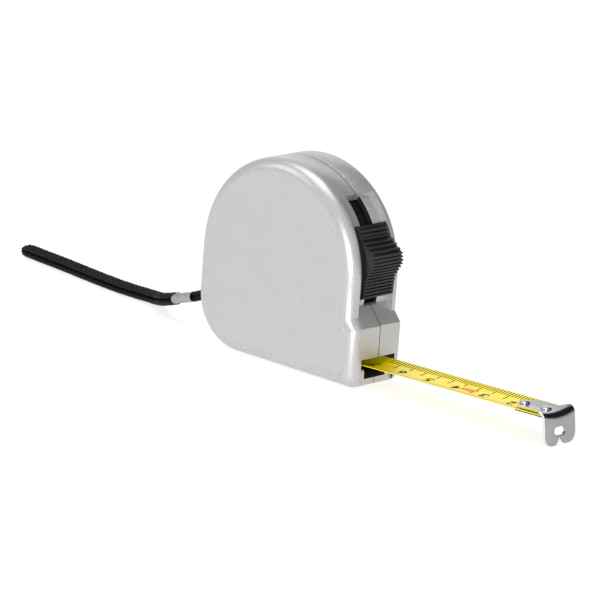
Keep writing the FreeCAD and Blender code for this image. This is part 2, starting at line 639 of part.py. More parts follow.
backing_end = plate_x - size["backing_setback"]
backing_low = -size["stack_gap"] - size["backing_thickness"]
backing_shape = cup_strip(backing_end - size["backing_length"], backing_end, backing_low, -size["stack_gap"],
                          size["backing_width"] / 2)
rivet_parts = []
head_low = tongue_high + size["stack_gap"]
under = backing_low - 0.01
head_radius, head_height = size["rivet_head_radius"], size["rivet_head_height"]
TOP_SHARE, LOW_SHARE = 0.6, 0.7
for x in rivet_x:
    backing_shape = backing_shape.cut(rod(x, size["rivet_radius"] + size["rivet_seat"], -2, 1))
    whole = rod(x, size["rivet_radius"], under, head_low + 0.1)
    top = Part.makeCone(head_radius, TOP_SHARE * head_radius, head_height, V(x, 0, head_low))
    low_head = Part.makeCone(LOW_SHARE * head_radius, head_radius, LOW_SHARE * head_height,
                             V(x, 0, under - LOW_SHARE * head_height))
    rivet_parts.append(whole.fuse([top, low_head]).removeSplitter())
hook_backing = shape_node("hook_backing", backing_shape, blade_frame)
hook_rivets = shape_node("hook_rivets", Part.Compound(rivet_parts), blade_frame)

# ---------------------------------------------------------------- wrist strap


def rounded_route(points, share=0.45):
    """Straight runs joined by tangent arcs, each as large as its two runs allow."""
    edges, start, radii = [], points[0], []
    for before, corner, after in zip(points, points[1:], points[2:]):
        one, two = corner - before, after - corner
        turn = one.getAngle(two)
        reach = share * min(one.Length, two.Length)
        radii.append(reach / math.tan(turn / 2))
        one.normalize()
        two.normalize()
        enter, leave = corner - one * reach, corner + two * reach
        bisector = (two - one).normalize()
        centre = corner + bisector * (radii[-1] / math.cos(turn / 2))
        edges.append(Part.LineSegment(start, enter).toShape())
        edges.append(Part.Arc(enter, centre - bisector * radii[-1], leave).toShape())
        start = leave
    edges.append(Part.LineSegment(start, points[-1]).toShape())
    return Part.Wire(edges), radii


def tube(label, path, radius):
    first = path.Edges[0]
    point, way = first.valueAt(first.FirstParameter), first.tangentAt(first.FirstParameter)
    ring = Part.Wire(Part.Circle(point, way, radius).toShape())
    shape = path.makePipeShell([ring], True, False)
    share = shape.Volume / (math.pi * radius ** 2 * path.Length)
    print("%s: length %.1f mm, volume share %.4f" % (label, path.Length, share))
    if abs(share - 1) > 0.01:
        raise ValueError(label + " has the wrong volume")
    return shape


# The neck: a thin cord from the ferrule, round the bar and back.
ferrule_front = V(size["ferrule_x"], 0, size["ferrule_z"])
tilt = math.radians(size["ferrule_tilt"])
ferrule_way = V(math.cos(tilt), 0, math.sin(tilt))
ferrule_back = ferrule_front - ferrule_way * size["ferrule_length"]
ferrule_up = V(-ferrule_way.z, 0, ferrule_way.x)
bar_centre = V(bar_spot[0], 0, bar_spot[1])
neck_inset = ferrule_front - ferrule_way * size["neck_inset"]
neck_part = size["neck_cord"] / 2 + size["neck_ply_gap"]


def wrap_tangent(point, over):
    """Where a line from the point touches the wrapped bar, above it or below it."""
    to_bar = bar_centre - point
    swing = math.acos(neck_wrap / to_bar.Length)
    base = math.atan2(-to_bar.z, -to_bar.x)
    angle = base + (-swing if over else swing)
    return bar_centre + V(math.cos(angle), 0, math.sin(angle)) * neck_wrap


upper, lower = neck_inset + ferrule_up * neck_part, neck_inset - ferrule_up * neck_part
upper_touch, lower_touch = wrap_tangent(upper, True), wrap_tangent(lower, False)
neck_path = Part.Wire([
    Part.LineSegment(upper, upper_touch).toShape(),
    Part.Arc(upper_touch, bar_centre + ferrule_way * neck_wrap, lower_touch).toShape(),
    Part.LineSegment(lower_touch, lower).toShape(),
])
strap_neck = shape_node("strap_neck", tube("strap_neck", neck_path, size["neck_cord"] / 2))

# The wrist loop: both plies of the flat braid as one tube, from the ferrule to the fold.
LOOP = [
    ferrule_back, ferrule_back - ferrule_way * 5.6, V(-60.5, 5.0, 2.75), V(-72.5, 7.3, 2.35),
    V(-88.5, 8.5, 2.3), V(-105.0, 11.0, 2.35), V(-115.0, 12.0, 2.3), V(-123.0, 13.2, 2.35),
]
loop_path, loop_radii = rounded_route(LOOP)
print("strap_loop radii:", ["%.0f" % r for r in loop_radii])
strap_loop = shape_node("strap_loop", tube("strap_loop", loop_path, size["strap_width"] / 2))

# The ferrule: a crimped sleeve with its bore pressed on to the neck.
long = size["ferrule_length"]


def sleeve(width, height, start, length):
    """A bar of oblong section along +X."""
    half = (width - height) / 2
    face = [
        Part.Arc(V(start, half, -height / 2), V(start, half + height / 2, 0), V(start, half, height / 2)),
        Part.LineSegment(V(start, half, height / 2), V(start, -half, height / 2)),
        Part.Arc(V(start, -half, height / 2), V(start, -half - height / 2, 0), V(start, -half, -height / 2)),
        Part.LineSegment(V(start, -half, -height / 2), V(start, half, -height / 2)),
    ]
    return Part.Face(Part.Wire([e.toShape() for e in face])).extrude(V(length, 0, 0))


bore_height = 2 * size["neck_cord"] + 4 * size["bore_gap"]
outer_height = bore_height + 2 * size["ferrule_wall"]
crimp = sleeve(size["ferrule_width"], outer_height, 0, long)
bore_width = size["neck_cord"] + size["bore_gap"]
bore_depth = size["neck_inset"] + size["bore_gap"]
bore_corner = V(long - bore_depth, -bore_width / 2, -bore_height / 2)
crimp = crimp.cut(Part.makeBox(bore_depth + 0.1, bore_width, bore_height, bore_corner))
ferrule_turn = FreeCAD.Rotation(Y_AXIS, -size["ferrule_tilt"])
ferrule_frame = FreeCAD.Placement(ferrule_back, ferrule_turn)
strap_ferrule = shape_node("strap_ferrule", crimp, ferrule_frame)

# ---------------------------------------------------------------- write the parts
NODES = [
    left_shell, right_shell, case_screws, spindle_post, thrust_washers, reel_drum, reel_cover,
    power_spring, blade_coil, blade_run, blade_tip, end_hook, hook_backing, hook_rivets,
    lock_button, lock_slide, brake_pad, strap_bar, strap_neck, strap_ferrule, strap_loop,
]
doc.recompute()
for item in doc.Objects:
    if {"Invalid", "Error"} & set(item.State):
        raise ValueError("%s is %s" % (item.Label, item.State))
os.makedirs("parts", exist_ok=True)
for node in NODES:
    shape = node.Shape
    if shape.isNull() or not shape.isValid():
        raise ValueError(node.Label + " has no valid shape")
    shape.exportStep("parts/%s.step" % node.Label)
    box = shape.BoundBox
    print("%-15s solids %d volume %.1f box %.1f..%.1f %.1f..%.1f %.1f..%.1f" % (
        node.Label, len(shape.Solids), shape.Volume, box.XMin, box.XMax, box.YMin, box.YMax,
        box.ZMin, box.ZMax))
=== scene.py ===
# %% [markdown]
# A pocket tape measure: two painted case halves, a spring-wound steel blade with a riveted end
# hook, a ribbed thumb lock and a braided wrist strap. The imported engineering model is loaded
# first and gives every place and size. Each visible piece is then made again with the detail
# that the real one has, and rides on the body that it moves with.

import math

import bmesh
import bpy
from mathutils import Matrix, Vector


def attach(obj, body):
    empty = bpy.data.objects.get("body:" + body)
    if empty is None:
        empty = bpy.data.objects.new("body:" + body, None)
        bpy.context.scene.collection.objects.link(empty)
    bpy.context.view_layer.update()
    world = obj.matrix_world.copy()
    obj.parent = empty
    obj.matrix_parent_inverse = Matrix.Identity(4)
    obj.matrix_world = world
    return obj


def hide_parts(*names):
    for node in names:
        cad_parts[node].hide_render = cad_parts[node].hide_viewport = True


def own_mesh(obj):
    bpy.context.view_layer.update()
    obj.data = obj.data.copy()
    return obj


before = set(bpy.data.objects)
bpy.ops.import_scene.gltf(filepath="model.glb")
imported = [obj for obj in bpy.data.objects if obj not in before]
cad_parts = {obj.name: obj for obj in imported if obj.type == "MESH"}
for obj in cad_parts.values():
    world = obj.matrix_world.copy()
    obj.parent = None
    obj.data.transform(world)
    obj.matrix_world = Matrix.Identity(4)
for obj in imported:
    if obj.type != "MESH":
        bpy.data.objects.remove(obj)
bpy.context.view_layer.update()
scene = bpy.context.scene
MM = 0.001
MERGE = 0.0005 * MM  # points nearer than this are one point

# %% [markdown]
# The camera looks at the front of the case from the left, a little above it, with a long lens.
# It is given as an aim point, a distance and three angles, because those are what a person
# would change. The roll is the small lean that a camera held by hand has.

# %% Camera
CAMERA_AIM = Vector((6.074, -5.547, 19.352)) * MM
CAMERA_DISTANCE, CAMERA_LENS = 1262.5 * MM, 270.0
CAMERA_AZIMUTH, CAMERA_ELEVATION, CAMERA_ROLL = 41.987, 14.841, 4.309
camera = bpy.data.objects.new("camera", bpy.data.cameras.new("camera"))
scene.collection.objects.link(camera)
scene.camera = camera
camera.data.lens = CAMERA_LENS
camera.data.sensor_width = 36.0
camera.data.clip_start, camera.data.clip_end = 0.1, 10.0
azimuth, elevation = math.radians(CAMERA_AZIMUTH), math.radians(CAMERA_ELEVATION)
level = math.cos(elevation)
back = Vector((math.sin(azimuth) * level, -math.cos(azimuth) * level, math.sin(elevation)))
camera.location = CAMERA_AIM + back * CAMERA_DISTANCE
camera.rotation_mode = "QUATERNION"
camera.rotation_quaternion = (
    (-back).to_track_quat("-Z", "Y") @ Matrix.Rotation(math.radians(CAMERA_ROLL), 3, "Z").to_quaternion()
)

# %% [markdown]
# A few helpers serve everything below. One turns a hex colour into the linear values that
# Blender's shaders use. One adds a node to any node tree, with its settings and links, and
# another uses it to add a math node. One makes an object from a mesh, at the origin, with its
# place in its vertices.


# %% Helpers: colours, nodes, objects
def colour(hex_value):
    """An sRGB hex colour as linear red, green, blue and alpha."""
    parts = [int(hex_value[i:i + 2], 16) / 255 for i in (1, 3, 5)]
    return tuple(p / 12.92 if p <= 0.04045 else ((p + 0.055) / 1.055) ** 2.4 for p in parts) + (1.0,)


def add(tree, kind, inputs=None, **settings):
    """Adds a node. inputs maps a socket's name or number to a value, or to a socket to link from."""
    node = tree.nodes.new(kind)
    for name, value in settings.items():
        setattr(node, name, value)
    for name, value in (inputs or {}).items():
        if isinstance(value, bpy.types.NodeSocket):
            tree.links.new(value, node.inputs[name])
        else:
            node.inputs[name].default_value = value
    return node


def calc(tree, operation, *values):
    """The result of a Math node on one to three values or sockets."""
    return add(tree, "ShaderNodeMath", dict(enumerate(values)), operation=operation).outputs[0]


def make_object(name, mesh, *materials):
    """An object for a finished mesh, at the origin."""
    made = bpy.data.objects.new(name, mesh)
    scene.collection.objects.link(made)
    mesh.name = name
    for material in materials:
        mesh.materials.append(material)
    return made


def plain_mesh(maker):
    """The evaluated result of an object's modifiers or curve, as a plain mesh."""
    bpy.context.view_layer.update()
    return bpy.data.meshes.new_from_object(maker.evaluated_get(bpy.context.evaluated_depsgraph_get()))


def smooth(mesh, angle=35.0):
    """Smooth shading, with an edge kept sharp where its faces turn by more than the angle."""
    mesh.shade_smooth()
    mesh.set_sharp_from_angle(angle=math.radians(angle))


# %% [markdown]
# A Geometry Nodes tree is built once with named inputs and then run on a maker object. The
# maker's inputs are set by socket identifier, its result is turned into a plain mesh, and the
# maker is thrown away, so nothing live is left on a piece.


# %% Helpers: Geometry Nodes
def new_tree(name, inputs):
    """A Geometry Nodes group with the given (name, socket type, default) inputs."""
    tree = bpy.data.node_groups.new(name, "GeometryNodeTree")
    tree.interface.new_socket("Geometry", in_out="INPUT", socket_type="NodeSocketGeometry")
    for label, kind, default in inputs:
        socket = tree.interface.new_socket(label, in_out="INPUT", socket_type=kind)
        if default is not None:
            socket.default_value = default
    tree.interface.new_socket("Geometry", in_out="OUTPUT", socket_type="NodeSocketGeometry")
    source = tree.nodes.new("NodeGroupInput")
    return tree, source.outputs


def end_tree(tree, geometry, material):
    """Every tree ends in real geometry with its material on it."""
    real = add(tree, "GeometryNodeRealizeInstances", {0: geometry})
    painted = add(tree, "GeometryNodeSetMaterial", {0: real.outputs[0], "Material": material})
    add(tree, "NodeGroupOutput", {0: painted.outputs[0]})


def run_tree(tree, name, values, seed=None):
    """Runs a tree on a seed mesh and returns the plain mesh that it grows."""
    maker = bpy.data.objects.new(name + "_maker", seed or bpy.data.meshes.new(name + "_seed"))
    scene.collection.objects.link(maker)
    modifier = maker.modifiers.new("grow", "NODES")
    modifier.node_group = tree
    sockets = {s.name: s.identifier for s in tree.interface.items_tree if s.in_out == "INPUT"}
    for label, value in values.items():
        modifier[sockets[label]] = value
    grown = plain_mesh(maker)
    bpy.data.objects.remove(maker)
    print(name, "grew", len(grown.polygons), "faces")
    return grown


# %% [markdown]
# Materials. Each starts from what the real surface is and how it was made. The first is the
# case: ABS moulded in two halves and sprayed with a silver lacquer. Fine aluminium flakes in
# the lacquer give it a grain and a soft, broad highlight. The flakes are about 0.05 mm; they are
# drawn at 0.35 mm, the finest that still shows.


# %% Material helpers
FIRST_COLOUR, SECOND_COLOUR, MIXED_COLOUR = 6, 7, 2  # a colour Mix node's sockets


def new_material(name):
    """A material with an empty Principled surface. Returns it, its tree and its shader."""
    material = bpy.data.materials.new(name)
    material.use_nodes = True
    tree = material.node_tree
    tree.nodes.clear()
    shader = add(tree, "ShaderNodeBsdfPrincipled")
    add(tree, "ShaderNodeOutputMaterial", {"Surface": shader.outputs[0]})
    return material, tree, shader


def set_inputs(shader, **values):
    """Sets a shader's plain inputs. An underscore stands for a space in an input's name."""
    for name, value in values.items():
        shader.inputs[name.replace("_", " ")].default_value = value


def object_place(tree):
    return add(tree, "ShaderNodeTexCoord").outputs["Object"]


def noise(tree, place, cell_mm, detail, **more):
    """A noise whose cells are that many millimetres."""
    inputs = {"Vector": place, "Scale": 1.0 / (cell_mm * MM), "Detail": detail}
    return add(tree, "ShaderNodeTexNoise", inputs | more).outputs["Fac"]


def paint(tree, shader, share, dark, light):
    """The base colour goes from dark to light with the share."""
    inputs = {"Factor": share, FIRST_COLOUR: colour(dark), SECOND_COLOUR: colour(light)}
    tint = add(tree, "ShaderNodeMix", inputs, data_type="RGBA")
    tree.links.new(tint.outputs[MIXED_COLOUR], shader.inputs["Base Color"])


def roughen(tree, shader, share, low, high):
    """The roughness goes from low to high with the share."""
    gloss = add(tree, "ShaderNodeMapRange", {"Value": share, "To Min": low, "To Max": high})
    tree.links.new(gloss.outputs[0], shader.inputs["Roughness"])


def emboss(tree, shader, height, strength, depth_mm):
    """Fine relief as bump."""
    bump = add(tree, "ShaderNodeBump", {"Height": height, "Strength": strength, "Distance": depth_mm * MM})
    tree.links.new(bump.outputs[0], shader.inputs["Normal"])


# %% Silver lacquer on moulded ABS
def silver_lacquer():
    material, tree, shader = new_material("silver_lacquer_on_abs")
    place = object_place(tree)
    flake = noise(tree, place, 0.35, 3.0)
    cloud = noise(tree, place, 9.0, 2.0)
    grain = add(tree, "ShaderNodeValToRGB", {"Fac": flake})
    for stop, position, shade in zip(grain.color_ramp.elements, (0.35, 0.65), ("#ABABAC", "#BBBBBC")):
        stop.position = position
        stop.color = colour(shade)
    tint = add(tree, "ShaderNodeMix", {"Factor": 0.08, FIRST_COLOUR: grain.outputs[0], SECOND_COLOUR: cloud},
               data_type="RGBA", blend_type="SOFT_LIGHT")
    tree.links.new(tint.outputs[MIXED_COLOUR], shader.inputs["Base Color"])
    roughen(tree, shader, flake, 0.3, 0.38)
    emboss(tree, shader, flake, 0.06, 0.02)
    set_inputs(shader, Metallic=0.5, Coat_Weight=0.25, Coat_Roughness=0.2)
    return material


silver = silver_lacquer()

# %% [markdown]
# The other moulded plastics are the same idea with different numbers: a base colour that
# varies a little, a spark-eroded grain from the mould as bump, and a roughness that follows it.
# Printing ink is made the same way.


# %% Moulded plastics
def moulded(name, dark, light, rough, grain_mm, depth_mm):
    material, tree, shader = new_material(name)
    grain = noise(tree, object_place(tree), grain_mm, 4.0)
    paint(tree, shader, grain, dark, light)
    roughen(tree, shader, grain, rough - 0.06, rough + 0.06)
    emboss(tree, shader, grain, 0.3, depth_mm)
    return material


black_abs = moulded("black_moulded_abs", "#08080A", "#131315", 0.4, 0.4, 0.03)
# Bare ABS inside the case; on the mouth's floor under the blade this near-black is painted shade.
bare_abs_and_painted_shade = moulded("bare_abs_inside_and_painted_shade", "#060606", "#0E0E0E", 0.7, 0.6, 0.03)
acetal = moulded("natural_acetal", "#DEDBD2", "#EAE7DF", 0.35, 1.2, 0.02)
nylon = moulded("polished_nylon", "#E2E1DA", "#EFEEE8", 0.2, 1.0, 0.01)
rubber = moulded("black_nitrile_rubber", "#131313", "#1F1F1F", 0.75, 0.5, 0.05)

# %% [markdown]
# Metals keep the default IOR and are fully metallic. A stamped part is brushed or tumbled
# before plating, which leaves fine marks along one direction. The marks are a noise stretched
# along that direction: about 0.05 mm wide on the real part and drawn at 0.25 mm. The hook's
# sheared edges get a much lighter nickel colour than its flat sides: a painted highlight.


# %% Metals
def plated(name, dark, light, rough, stretch, mark_mm=0.25):
    material, tree, shader = new_material(name)
    place = object_place(tree)
    drawn = add(tree, "ShaderNodeMapping", {"Vector": place, "Scale": stretch})
    marks = noise(tree, drawn.outputs[0], mark_mm, 3.0, Roughness=0.6)
    stain = noise(tree, place, 4.0, 2.0)
    paint(tree, shader, stain, dark, light)
    roughen(tree, shader, marks, rough - 0.05, rough + 0.08)
    emboss(tree, shader, marks, 0.15, 0.01)
    set_inputs(shader, Metallic=1.0)
    return material


NO_STRETCH = (1.0, 1.0, 1.0)
nickel = plated("polished_nickel_plate", "#9A9A9B", "#ABABAC", 0.14, (1.0, 0.15, 1.0))
# A lighter nickel for the hook's outer sheared edges: a painted highlight.
nickel_painted_edge_highlight = plated("nickel_with_painted_edge_highlight", "#DCDCDD", "#ECECED", 0.2, NO_STRETCH, 0.4)
rivet_steel = plated("plated_rivet_steel", "#B0B1B4", "#CFD0D2", 0.14, NO_STRETCH, 0.4)
dark_steel = plated("dark_oiled_steel", "#4A4A4C", "#6A6A6C", 0.3, (0.2, 1.0, 1.0))
zinc = plated("bright_zinc_plate", "#A9ADB4", "#C4C8CE", 0.28, NO_STRETCH, 0.5)
crimp_steel = plated("crimped_sheet_steel", "#9C9C9C", "#B4B4B4", 0.42, (0.2, 1.0, 1.0))
blue_steel = plated("blued_spring_steel", "#4C5564", "#6B7484", 0.3, (1.0, 0.1, 1.0))


# %% [markdown]
# The blade is spring steel with a baked yellow enamel, a black and red print, and a clear coat
# over both. The coat is what turns the far part pale at a low angle: it mirrors the bright room.


# %% Blade enamel and inks
def enamel():
    material, tree, shader = new_material("yellow_blade_enamel")
    roller = add(tree, "ShaderNodeMapping", {"Vector": object_place(tree), "Scale": (0.06, 1.0, 1.0)})
    streak = noise(tree, roller.outputs[0], 0.7, 3.0)
    paint(tree, shader, streak, "#F7DC00", "#FDE80A")
    roughen(tree, shader, streak, 0.25, 0.36)
    emboss(tree, shader, streak, 0.1, 0.01)
    set_inputs(shader, Specular_IOR_Level=0.35, Coat_Weight=0.15, Coat_Roughness=0.2)
    return material


yellow = enamel()
black_ink = moulded("black_printing_ink", "#0E0D06", "#1A180E", 0.6, 0.3, 0.005)
red_ink = moulded("red_printing_ink", "#E03A10", "#EA4A1C", 0.6, 0.3, 0.005)
for ink in (black_ink, red_ink):
    set_inputs(ink.node_tree.nodes["Principled BSDF"], Specular_IOR_Level=0.2)

# %% [markdown]
# The braid is black polyester yarn. Each yarn is a bundle of fine fibres with a slight sheen,
# so the material is rough, has a little sheen and a fibre grain finer than a yarn.


# %% Polyester yarn
def yarn_material():
    material, tree, shader = new_material("black_polyester_yarn")
    fibre = noise(tree, object_place(tree), 0.25, 4.0)
    paint(tree, shader, fibre, "#020203", "#0B0B0C")
    emboss(tree, shader, fibre, 0.5, 0.06)
    set_inputs(shader, Roughness=0.5, Specular_IOR_Level=0.2, Sheen_Weight=0.02, Sheen_Roughness=0.35)
    return material


yarn = yarn_material()

# %% [markdown]
# Small tools for making pieces. A loft joins rings of points into a closed skin, a lathe turns a
# profile about Z, and a slab is a flat outline with a thickness. All of them give a mesh whose
# faces point outwards. More tools round a mesh's edges and join several meshes into one.


# %% Helpers: lofts, lathes, slabs
def clean(work, name):
    """Merges doubles, points faces outwards and returns a mesh."""
    bmesh.ops.remove_doubles(work, verts=work.verts, dist=MERGE)
    bmesh.ops.recalc_face_normals(work, faces=work.faces)
    mesh = bpy.data.meshes.new(name)
    work.to_mesh(mesh)
    work.free()
    return mesh


def loft(name, rings, cyclic=False):
    """A skin over rings of points. An open stack of rings gets end caps."""
    work = bmesh.new()
    rows = [[work.verts.new(p) for p in ring] for ring in rings]
    count = len(rows[0])
    pairs = list(zip(rows, rows[1:])) + ([(rows[-1], rows[0])] if cyclic else [])
    for one, two in pairs:
        for i in range(count):
            j = (i + 1) % count
            work.faces.new((one[i], one[j], two[j], two[i]))
    if not cyclic:
        work.faces.new(rows[0][::-1])
        work.faces.new(rows[-1])
    return clean(work, name)


def lathe(name, profile, steps=48):
    """A profile of (radius, height) in millimetres, turned about Z and capped at both ends."""
    turns = [math.tau * i / steps for i in range(steps)]
    rings = [[Vector((radius * math.cos(turn), radius * math.sin(turn), height)) * MM for turn in turns]
             for radius, height in profile]
    return loft(name, rings)


def slab(name, outline, thickness):
    """A flat (x, z) outline with a thickness, all in millimetres, centred on the plane y = 0."""
    return loft(name, [[Vector((x, side * thickness / 2, z)) * MM for x, z in outline] for side in (-1, 1)])


def rounded(mesh, width, segments=2, angle=30.0):
    """The mesh with its sharp edges rounded by a Bevel modifier."""
    maker = bpy.data.objects.new("rounding", mesh)
    scene.collection.objects.link(maker)
    bevel = maker.modifiers.new("bevel", "BEVEL")
    bevel.width = width
    bevel.segments = segments
    bevel.limit_method = "ANGLE"
    bevel.angle_limit = math.radians(angle)
    bevel.harden_normals = True
    made = plain_mesh(maker)
    bpy.data.objects.remove(maker)
    return made


def joined(name, *meshes):
    """One mesh from several, with each one's materials kept."""
    work = bmesh.new()
    materials = []
    for mesh in meshes:
        first = len(work.faces)
        work.from_mesh(mesh)
        work.faces.ensure_lookup_table()
        shift = len(materials)
        for face in work.faces[first:]:
            face.material_index += shift
        materials += list(mesh.materials) or [None]
    made = bpy.data.meshes.new(name)
    work.to_mesh(made)
    work.free()
    for material in materials:
        made.materials.append(material)
    return made


# %% [markdown]
# The wrist strap is one flat braided cord: out from the crimp, round a fold at the far end, and
# back. On the table it lies flat, one ply on the other. Its centre line is a smooth spline, and
# the return ply lies one cord thickness above the first.

# %% Strap route
PLY_LOW, PLY_HIGH = 1.03, 2.95  # the height of each ply's middle on the floor
crimp_back = Vector((-47.15, 0.0, 6.465))
CRIMP_SLOPE = 17.5
crimp_way = Vector((math.cos(math.radians(CRIMP_SLOPE)), 0.0, math.sin(math.radians(CRIMP_SLOPE))))
crimp_up = Vector((-crimp_way.z, 0.0, crimp_way.x))
PLY_IN_CRIMP = 0.9  # how far each ply is from the middle of the crimp
# Points along the floor: x, y, and how far the pair of plies is lifted off it.
FLOOR_POINTS = [
    (-58.5, 5.8, 0.75), (-66.0, 7.3, 0.1), (-76.0, 7.3, 0.0), (-88.5, 8.6, 0.0), (-105.0, 10.9, 0.05),
    (-115.0, 12.0, 0.0),
]
FOLD = Vector((-122.6, 13.1, 0.0))


def strap_points():
    """The route's points: out of the crimp on the low ply, round the fold, back on the high one."""
    held = crimp_back + crimp_way * 0.3  # just inside the crimp
    clear = crimp_back - crimp_way * 6.0 + Vector((0.0, 0.5, 0.1))
    plies = []
    for side, height in ((-1, PLY_LOW), (1, PLY_HIGH)):
        ply = [held + crimp_up * side * PLY_IN_CRIMP, clear + crimp_up * side * (PLY_HIGH - PLY_LOW) / 2]
        ply += [Vector((x, y, height + lift)) for x, y, lift in FLOOR_POINTS]
        ply += [FOLD + Vector((1.6, -0.3, height)), FOLD + Vector((-0.55, 0.0, height))]
        plies.append(ply)
    return plies[0] + plies[1][::-1]


def smooth_route(name, points):
    """A smooth spline through space. Its order and end points are set after its points."""
    curve = bpy.data.curves.new(name, "CURVE")
    curve.dimensions = "3D"
    curve.resolution_u = 24
    spline = curve.splines.new("NURBS")
    spline.points.add(len(points) - 1)
    for knot, point in zip(spline.points, points):
        knot.co = (*(point * MM), 1.0)
    spline.order_u = 3
    spline.use_endpoint_u = True
    return make_object(name, curve)


def line_of(route):
    """The points of a route's smooth line."""
    flat = plain_mesh(route)
    found = [v.co.copy() for v in flat.vertices]
    bpy.data.meshes.remove(flat)
    return found


def line_length(line):
    return sum((b - a).length for a, b in zip(line, line[1:]))


strap_route = smooth_route("strap_route", strap_points())
strap_line = line_of(strap_route)
print("strap line: %d points, %.1f mm" % (len(strap_line), line_length(strap_line) / MM))

# %% [markdown]
# A tubular braid that is pressed flat: half of the yarns wind one way round a flat core and half
# the other way, and each passes over one and under the next. In the tree, every yarn is a copy
# of one line. A point's place along the line gives its place on the route, and the copy's number
# gives its angle round the core. The lift is a cosine with one half wave for each crossing, with
# opposite signs for the two directions, so yarns never meet at the same height.


# %% The braid tree
UPRIGHT_HELP = 0.002  # keeps the way across defined where the route is upright


def braid_tree():
    tree, given = new_tree("flat_braid", [
        ("Route", "NodeSocketObject", None), ("Yarns Each Way", "NodeSocketInt", 7),
        ("Turns", "NodeSocketFloat", 20.0), ("Half Width", "NodeSocketFloat", 2.0 * MM),
        ("Half Thickness", "NodeSocketFloat", 0.7 * MM), ("Yarn Radius", "NodeSocketFloat", 0.4 * MM),
        ("Lift", "NodeSocketFloat", 0.15 * MM), ("Points", "NodeSocketInt", 400),
        ("Material", "NodeSocketMaterial", None),
    ])
    route = add(tree, "GeometryNodeObjectInfo", {"Object": given["Route"]}).outputs["Geometry"]
    line = add(tree, "GeometryNodeMeshLine", {"Count": given["Points"]})
    curve = add(tree, "GeometryNodeMeshToCurve", {0: line.outputs[0]})
    both = calc(tree, "MULTIPLY", given["Yarns Each Way"], 2.0)
    copies = add(tree, "GeometryNodeDuplicateElements", {0: curve.outputs[0], "Amount": both},
                 domain="SPLINE")
    number = copies.outputs["Duplicate Index"]
    share = add(tree, "GeometryNodeSplineParameter").outputs["Factor"]
    sign = calc(tree, "MULTIPLY_ADD", calc(tree, "MODULO", number, 2.0), -2.0, 1.0)
    place = calc(tree, "FLOOR", calc(tree, "DIVIDE", number, 2.0))
    start = calc(tree, "DIVIDE", place, given["Yarns Each Way"])
    wound = calc(tree, "MULTIPLY", share, given["Turns"])
    angle = calc(tree, "MULTIPLY", calc(tree, "MULTIPLY_ADD", wound, sign, start), math.tau)
    crossings = calc(tree, "MULTIPLY", wound, given["Yarns Each Way"])
    beat = calc(tree, "COSINE", calc(tree, "MULTIPLY", crossings, math.tau))
    lift = calc(tree, "MULTIPLY", calc(tree, "MULTIPLY", beat, sign), given["Lift"])
    at = add(tree, "GeometryNodeSampleCurve", {0: route, "Factor": share}, mode="FACTOR")
    # Across the ply: level, square to the route, and on the same side out and home, so that it
    # doesn't flip where the route turns straight up at the fold.
    heading = add(tree, "ShaderNodeSeparateXYZ", {0: at.outputs["Tangent"]})
    away = calc(tree, "MULTIPLY", calc(tree, "SIGN", heading.outputs[0]), -1.0)
    across_x = calc(tree, "MULTIPLY", heading.outputs[1], away)
    across_y = calc(tree, "ADD", calc(tree, "ABSOLUTE", heading.outputs[0]), UPRIGHT_HELP)
    flat_way = add(tree, "ShaderNodeCombineXYZ", {0: across_x, 1: across_y})
    across = add(tree, "ShaderNodeVectorMath", {0: flat_way.outputs[0]}, operation="NORMALIZE")
    side = add(tree, "ShaderNodeVectorMath", {0: at.outputs["Tangent"], 1: across.outputs[0]},
               operation="CROSS_PRODUCT")
    moved = at.outputs["Position"]
    for size, wave_kind, axis in (
        (given["Half Width"], "COSINE", across.outputs[0]),
        (given["Half Thickness"], "SINE", side.outputs[0]),
    ):
        out = calc(tree, "MULTIPLY", calc(tree, "ADD", size, lift), calc(tree, wave_kind, angle))
        step = add(tree, "ShaderNodeVectorMath", {0: axis, "Scale": out}, operation="SCALE")
        moved = add(tree, "ShaderNodeVectorMath", {0: moved, 1: step.outputs[0]}, operation="ADD").outputs[0]
    woven = add(tree, "GeometryNodeSetPosition", {0: copies.outputs[0], "Position": moved})
    ring = add(tree, "GeometryNodeCurvePrimitiveCircle", {"Resolution": 5, "Radius": given["Yarn Radius"]})
    tubes = add(tree, "GeometryNodeCurveToMesh",
                {0: woven.outputs[0], 1: ring.outputs[0], "Fill Caps": True})
    shaded = add(tree, "GeometryNodeSetShadeSmooth", {0: tubes.outputs[0]})
    end_tree(tree, shaded.outputs[0], given["Material"])
    return tree


flat_braid = braid_tree()

# %% Braid the strap
# Each ply is a core with yarns round it; the sizes add up to the cord's own width and thickness.
strap_braid = run_tree(flat_braid, "wrist_loop", {
    "Route": strap_route, "Yarns Each Way": 6, "Turns": 20.0, "Half Width": 1.58 * MM,
    "Half Thickness": 0.44 * MM, "Yarn Radius": 0.36 * MM, "Lift": 0.24 * MM, "Points": 1000,
    "Material": yarn,
})


CORE_SIDES, CORE_STEP = 12, 3  # a core has 12 sides, and a ring at every third point of its line


def cord_core(name, line, half_width, half_thickness):
    """The flat core inside a braid, lofted along its line, so that no light shows between yarns."""
    turns = [math.tau * k / CORE_SIDES for k in range(CORE_SIDES)]
    rings = []
    for i in range(0, len(line), CORE_STEP):
        before, after = line[max(0, i - 1)], line[min(len(line) - 1, i + 1)]
        ahead = (after - before).normalized()
        out = Vector((-ahead.y * math.copysign(1.0, ahead.x), abs(ahead.x) + UPRIGHT_HELP, 0.0)).normalized()
        up = ahead.cross(out)
        rings.append([line[i] + out * (half_width * math.cos(turn)) + up * (half_thickness * math.sin(turn))
                      for turn in turns])
    core = loft(name, rings)
    core.materials.append(yarn)
    smooth(core, 60.0)
    return core


